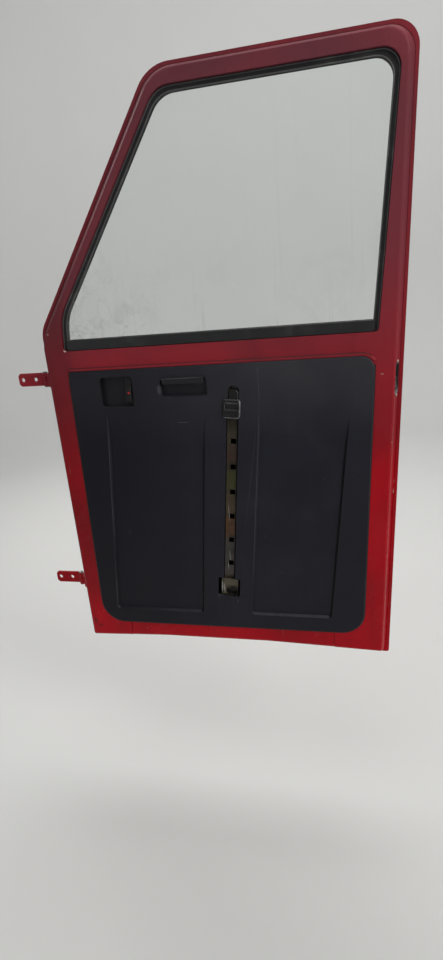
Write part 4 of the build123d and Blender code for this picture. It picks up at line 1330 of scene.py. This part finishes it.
@dataclass
class BowHandle:
    """Outer handle on rubber seats, with a key barrel in its button."""

    plastic: GrainedPlastic = GrainedPlastic(
        name="handle_plastic", clean=(0.0090, 0.0090, 0.0098), faded=(0.020, 0.020, 0.021), grain=1700.0,
        dusty=0.2, roughness=0.34,
    )
    seat_rubber: AgedRubber = AgedRubber(name="seat_rubber")
    # Near-black, a painted shade for the keyway's slot.
    keyway_shade: AgedRubber = AgedRubber(
        name="key_slot_shade", black=(0.002, 0.002, 0.002), bloom=(0.004, 0.004, 0.004),
    )
    barrel_steel: WornSteel = WornSteel(
        name="barrel_steel", steel=(0.55, 0.55, 0.54), greasy=0.66, roughness=0.22,
    )
    handle: Box = measured("outer_handle")
    button: Box = measured("handle_button")
    boss_radius: float = 12.0
    foot: Flat = (10.0, 20.0)
    foot_points: int = 28
    squareness: float = 0.4
    bead: float = 1.3
    barrel: tuple[Flat, ...] = ((4.6, -0.4), (4.6, 0.25), (4.2, 0.5), (3.7, 0.5), (3.5, 0.2), (0.2, 0.2))
    keyway: tuple[Flat, ...] = ((-0.6, -2.4), (0.6, -2.4), (0.6, 2.4), (-0.6, 2.4))
    keyway_depth: float = 0.35

    def middle(self) -> Vector:
        """Returns the middle of the button's outer face."""
        centre = self.button.middle
        return Vector((centre.x, self.button.high.y, centre.z))

    def seats(self) -> None:
        """Builds the rubber beads under the handle's two feet."""
        bead, centre = self.bead, self.middle()
        depth = self.handle.low.y + bead
        boss = [Vector((centre.x + x, depth, centre.z + z)) for x, z in circle(self.boss_radius + bead / 2)]
        width, tall = self.foot
        foot_x = self.handle.low.x + width / 2
        half_x, half_z = width / 2 + bead / 2, tall / 2 + bead / 2
        foot = []
        for x, z in circle(1.0, self.foot_points):
            square_x, square_z = (math.copysign(abs(share) ** self.squareness, share) for share in (x, z))
            foot.append(Vector((foot_x + square_x * half_x, depth, centre.z + square_z * half_z)))
        for name, path in (("boss_seat", boss), ("foot_seat", foot)):
            Mesh().rope(path, bead, closed=True).piece(name, self.seat_rubber, Slot.RUBBER)

    def key_barrel(self) -> None:
        """Builds the key barrel, with a near-black keyway shape on the button's face as painted shade of the
        slot.
        """
        at = self.middle()
        out = Vector((0.0, 1.0, 0.0))
        Mesh().turned(self.barrel, at, out).piece("key_barrel", self.barrel_steel, Slot.STEEL)
        Mesh().tube([at + out * depth + Vector((-x, 0.0, z)) for x, z in self.keyway]
                    for depth in (0.0, self.keyway_depth)).piece("key_slot_shade", self.keyway_shade, Slot.BLACK)

    def build(self) -> None:
        """Dresses the handle and adds its seats and key barrel."""
        dress(self.plastic, Edge.FORGED, "outer_handle", "handle_button")
        self.seats()
        self.key_barrel()


@dataclass
class ButtHinge:
    """One hinge: leaves in the door's paint, a peened pin and the weld on the door's front wall."""

    which: Hinge
    paint: AgedPaint = AgedPaint(name="hinge_paint", dusty=0.12, settled=0.24)
    pin_steel: WornSteel = WornSteel(name="pin_steel", steel=(0.26, 0.25, 0.24), greasy=0.46)
    dome: tuple[Flat, ...] = ((4.24, 0.05), (5.3, 0.5), (5.3, 1.3), (4.558, 2.1), (2.65, 2.6), (0.2, 2.75))
    reach: float = 14.0
    wall: Wall = Wall(x=61.0, run=-6.0)
    weld: Flat = (-25.0, -12.5)
    bead: float = 1.5
    ripple: float = 0.25
    ripple_turn: float = 2.2
    ripple_step: float = 1.4

    def pin_heads(self, middle: Vector) -> None:
        """Builds the peened heads at the pin's two ends.

        Args:
            middle: Middle of the pin.
        """
        mesh = Mesh()
        for side in (-1.0, 1.0):
            up = Vector((0.0, 0.0, side))
            mesh.turned(self.dome, middle + up * self.reach, up, segments=24)
        mesh.piece(f"{self.which.value}_pin_heads", self.pin_steel, Slot.STEEL)

    def weld_bead(self, middle: Vector) -> None:
        """Builds the weld round the door leaf's edge on the front wall.

        Args:
            middle: Middle of the pin.
        """
        near, far = self.weld
        low, high = middle.z - self.reach, middle.z + self.reach
        turns = [self.wall.point(y, z) for y, z in ((far, low), (near, low), (near, high), (far, high))]
        path: list[Vector] = []
        for start, end in zip(turns, turns[1:]):
            parts = max(2, round((end - start).length / self.ripple_step))
            path.extend(start.lerp(end, k / parts) for k in range(parts))
        path.append(turns[-1])
        for i, point in enumerate(path):
            point.x -= self.ripple * math.sin(self.ripple_turn * i)
        Mesh().rope(path, self.bead).piece(f"{self.which.value}_weld", self.paint, Slot.PAINT)

    def build(self) -> None:
        """Dresses the hinge and adds its pin heads and weld."""
        which = self.which.value
        dress(self.paint, Edge.FORGED, f"{which}_pillar_leaf", f"{which}_door_leaf")
        dress(self.pin_steel, Edge.SHEET, f"{which}_pin")
        middle = Box.of(f"{which}_pin").middle
        self.pin_heads(middle)
        self.weld_bead(middle)


@dataclass
class Lamp:
    """One soft light."""

    name: str
    place: Point
    target: Point
    size: float
    power: float
    colour: Colour = (1.0, 1.0, 1.0)

    def build(self) -> None:
        """Hangs the light and turns it to its target."""
        data = bpy.data.lights.new(self.name, "AREA")
        data.shape = "SQUARE"
        data.size = self.size
        data.energy = self.power
        data.color = self.colour
        lamp = bpy.data.objects.new(self.name, data)
        lamp.visible_transmission = False
        lamp.location = self.place
        lamp.rotation_euler = (Vector(self.target) - Vector(self.place)).to_track_quat("-Z", "Y").to_euler()
        bpy.context.scene.collection.objects.link(lamp)


@dataclass
class Studio:
    """Pale sweep of floor and wall, soft lights, and the camera where the photographer stood."""

    floor: float = -0.80
    radius: float = 3.4
    start: float = 0.2
    bend: float = 1.3
    height: float = 5.0
    steps: int = 14
    around: int = 64
    middle: Flat = (0.4, 0.0)
    ground: PaleGround = PaleGround()
    lamps: tuple[Lamp, ...] = (
        Lamp("key", (2.9, -1.7, 1.9), (0.4, 0.0, 0.1), 1.5, 58.0, (1.0, 0.985, 0.96)),
        Lamp("fill", (-1.9, -2.3, 0.9), (0.4, 0.0, 0.0), 1.6, 6.0, (0.94, 0.97, 1.0)),
        Lamp("overhead", (0.4, -0.7, 2.7), (0.4, 0.0, 0.0), 1.8, 24.0),
        Lamp("rim", (-1.2, 1.9, 1.7), (0.4, 0.0, 0.1), 1.2, 26.0, (1.0, 0.98, 0.95)),
        Lamp("backdrop", (0.6, 1.0, 3.4), (0.5, 3.6, 0.4), 2.4, 95.0),
    )
    camera_at: Point = (0.7013, -1.1496, 0.4079)
    right: Point = (0.97137, 0.22177, -0.08520)
    up: Point = (0.00682, 0.33245, 0.94310)
    lens: float = 22.2
    sensor: float = 36.0
    clip: Flat = (0.05, 60.0)
    room: tuple[float, float, float, float] = (0.86, 0.90, 0.95, 1.0)
    room_light: float = 0.14

    def sweep(self) -> None:
        """Builds the floor and the wall round it as one sheet, bent up in a wide curve."""
        profile = [(self.start, 0.0), (self.radius * 0.6, 0.0), (self.radius, 0.0)]
        for i in range(1, self.steps + 1):
            turn = math.pi / 2 * i / self.steps
            profile.append((self.radius + self.bend * math.sin(turn), self.bend * (1 - math.cos(turn))))
        profile.append((self.radius + self.bend, self.height))
        middle_x, middle_y = self.middle
        mesh = Mesh()
        inner, _ = mesh.lay([Vector((middle_x + x, middle_y + y, self.floor + rise)) / MM
                             for x, y in circle(radius, self.around)] for radius, rise in profile)
        mesh.faces.append(inner[::-1])
        mesh.thing("sweep", self.ground)

    def camera(self) -> None:
        """Places the camera."""
        data = bpy.data.cameras.new("camera")
        data.sensor_width, data.lens = self.sensor, self.lens
        data.clip_start, data.clip_end = self.clip
        thing = bpy.data.objects.new("camera", data)
        right, up = Vector(self.right).normalized(), Vector(self.up)
        back = right.cross(up).normalized()
        turn = Matrix((right, back.cross(right), back)).transposed().to_4x4()
        thing.matrix_world = Matrix.Translation(self.camera_at) @ turn
        bpy.context.scene.collection.objects.link(thing)
        bpy.context.scene.camera = thing

    def build(self) -> None:
        """Sets up the floor, the lights, the camera and the even light of the room."""
        self.sweep()
        for lamp in self.lamps:
            lamp.build()
        self.camera()
        world = bpy.data.worlds.new("room")
        world.use_nodes = True
        light = world.node_tree.nodes["Background"]
        light.inputs["Color"].default_value = self.room
        light.inputs["Strength"].default_value = self.room_light
        bpy.context.scene.world = world
        bpy.context.scene.view_settings.view_transform = "Standard"


def main() -> None:
    """Builds the studio and each sub-assembly in order, and reports each one."""
    logging.basicConfig(level=logging.INFO, format="%(name)s: %(message)s", stream=sys.stdout)
    for assembly in (
            Studio(), DoorShell(), Window(), TrimPanel(), WindowLift(), RimLatch(), BowHandle(),
            ButtHinge(Hinge.LOWER), ButtHinge(Hinge.UPPER)):
        assembly.build()
        log.info("built %s", type(assembly).__name__)


if __name__ == "__main__":
    main()
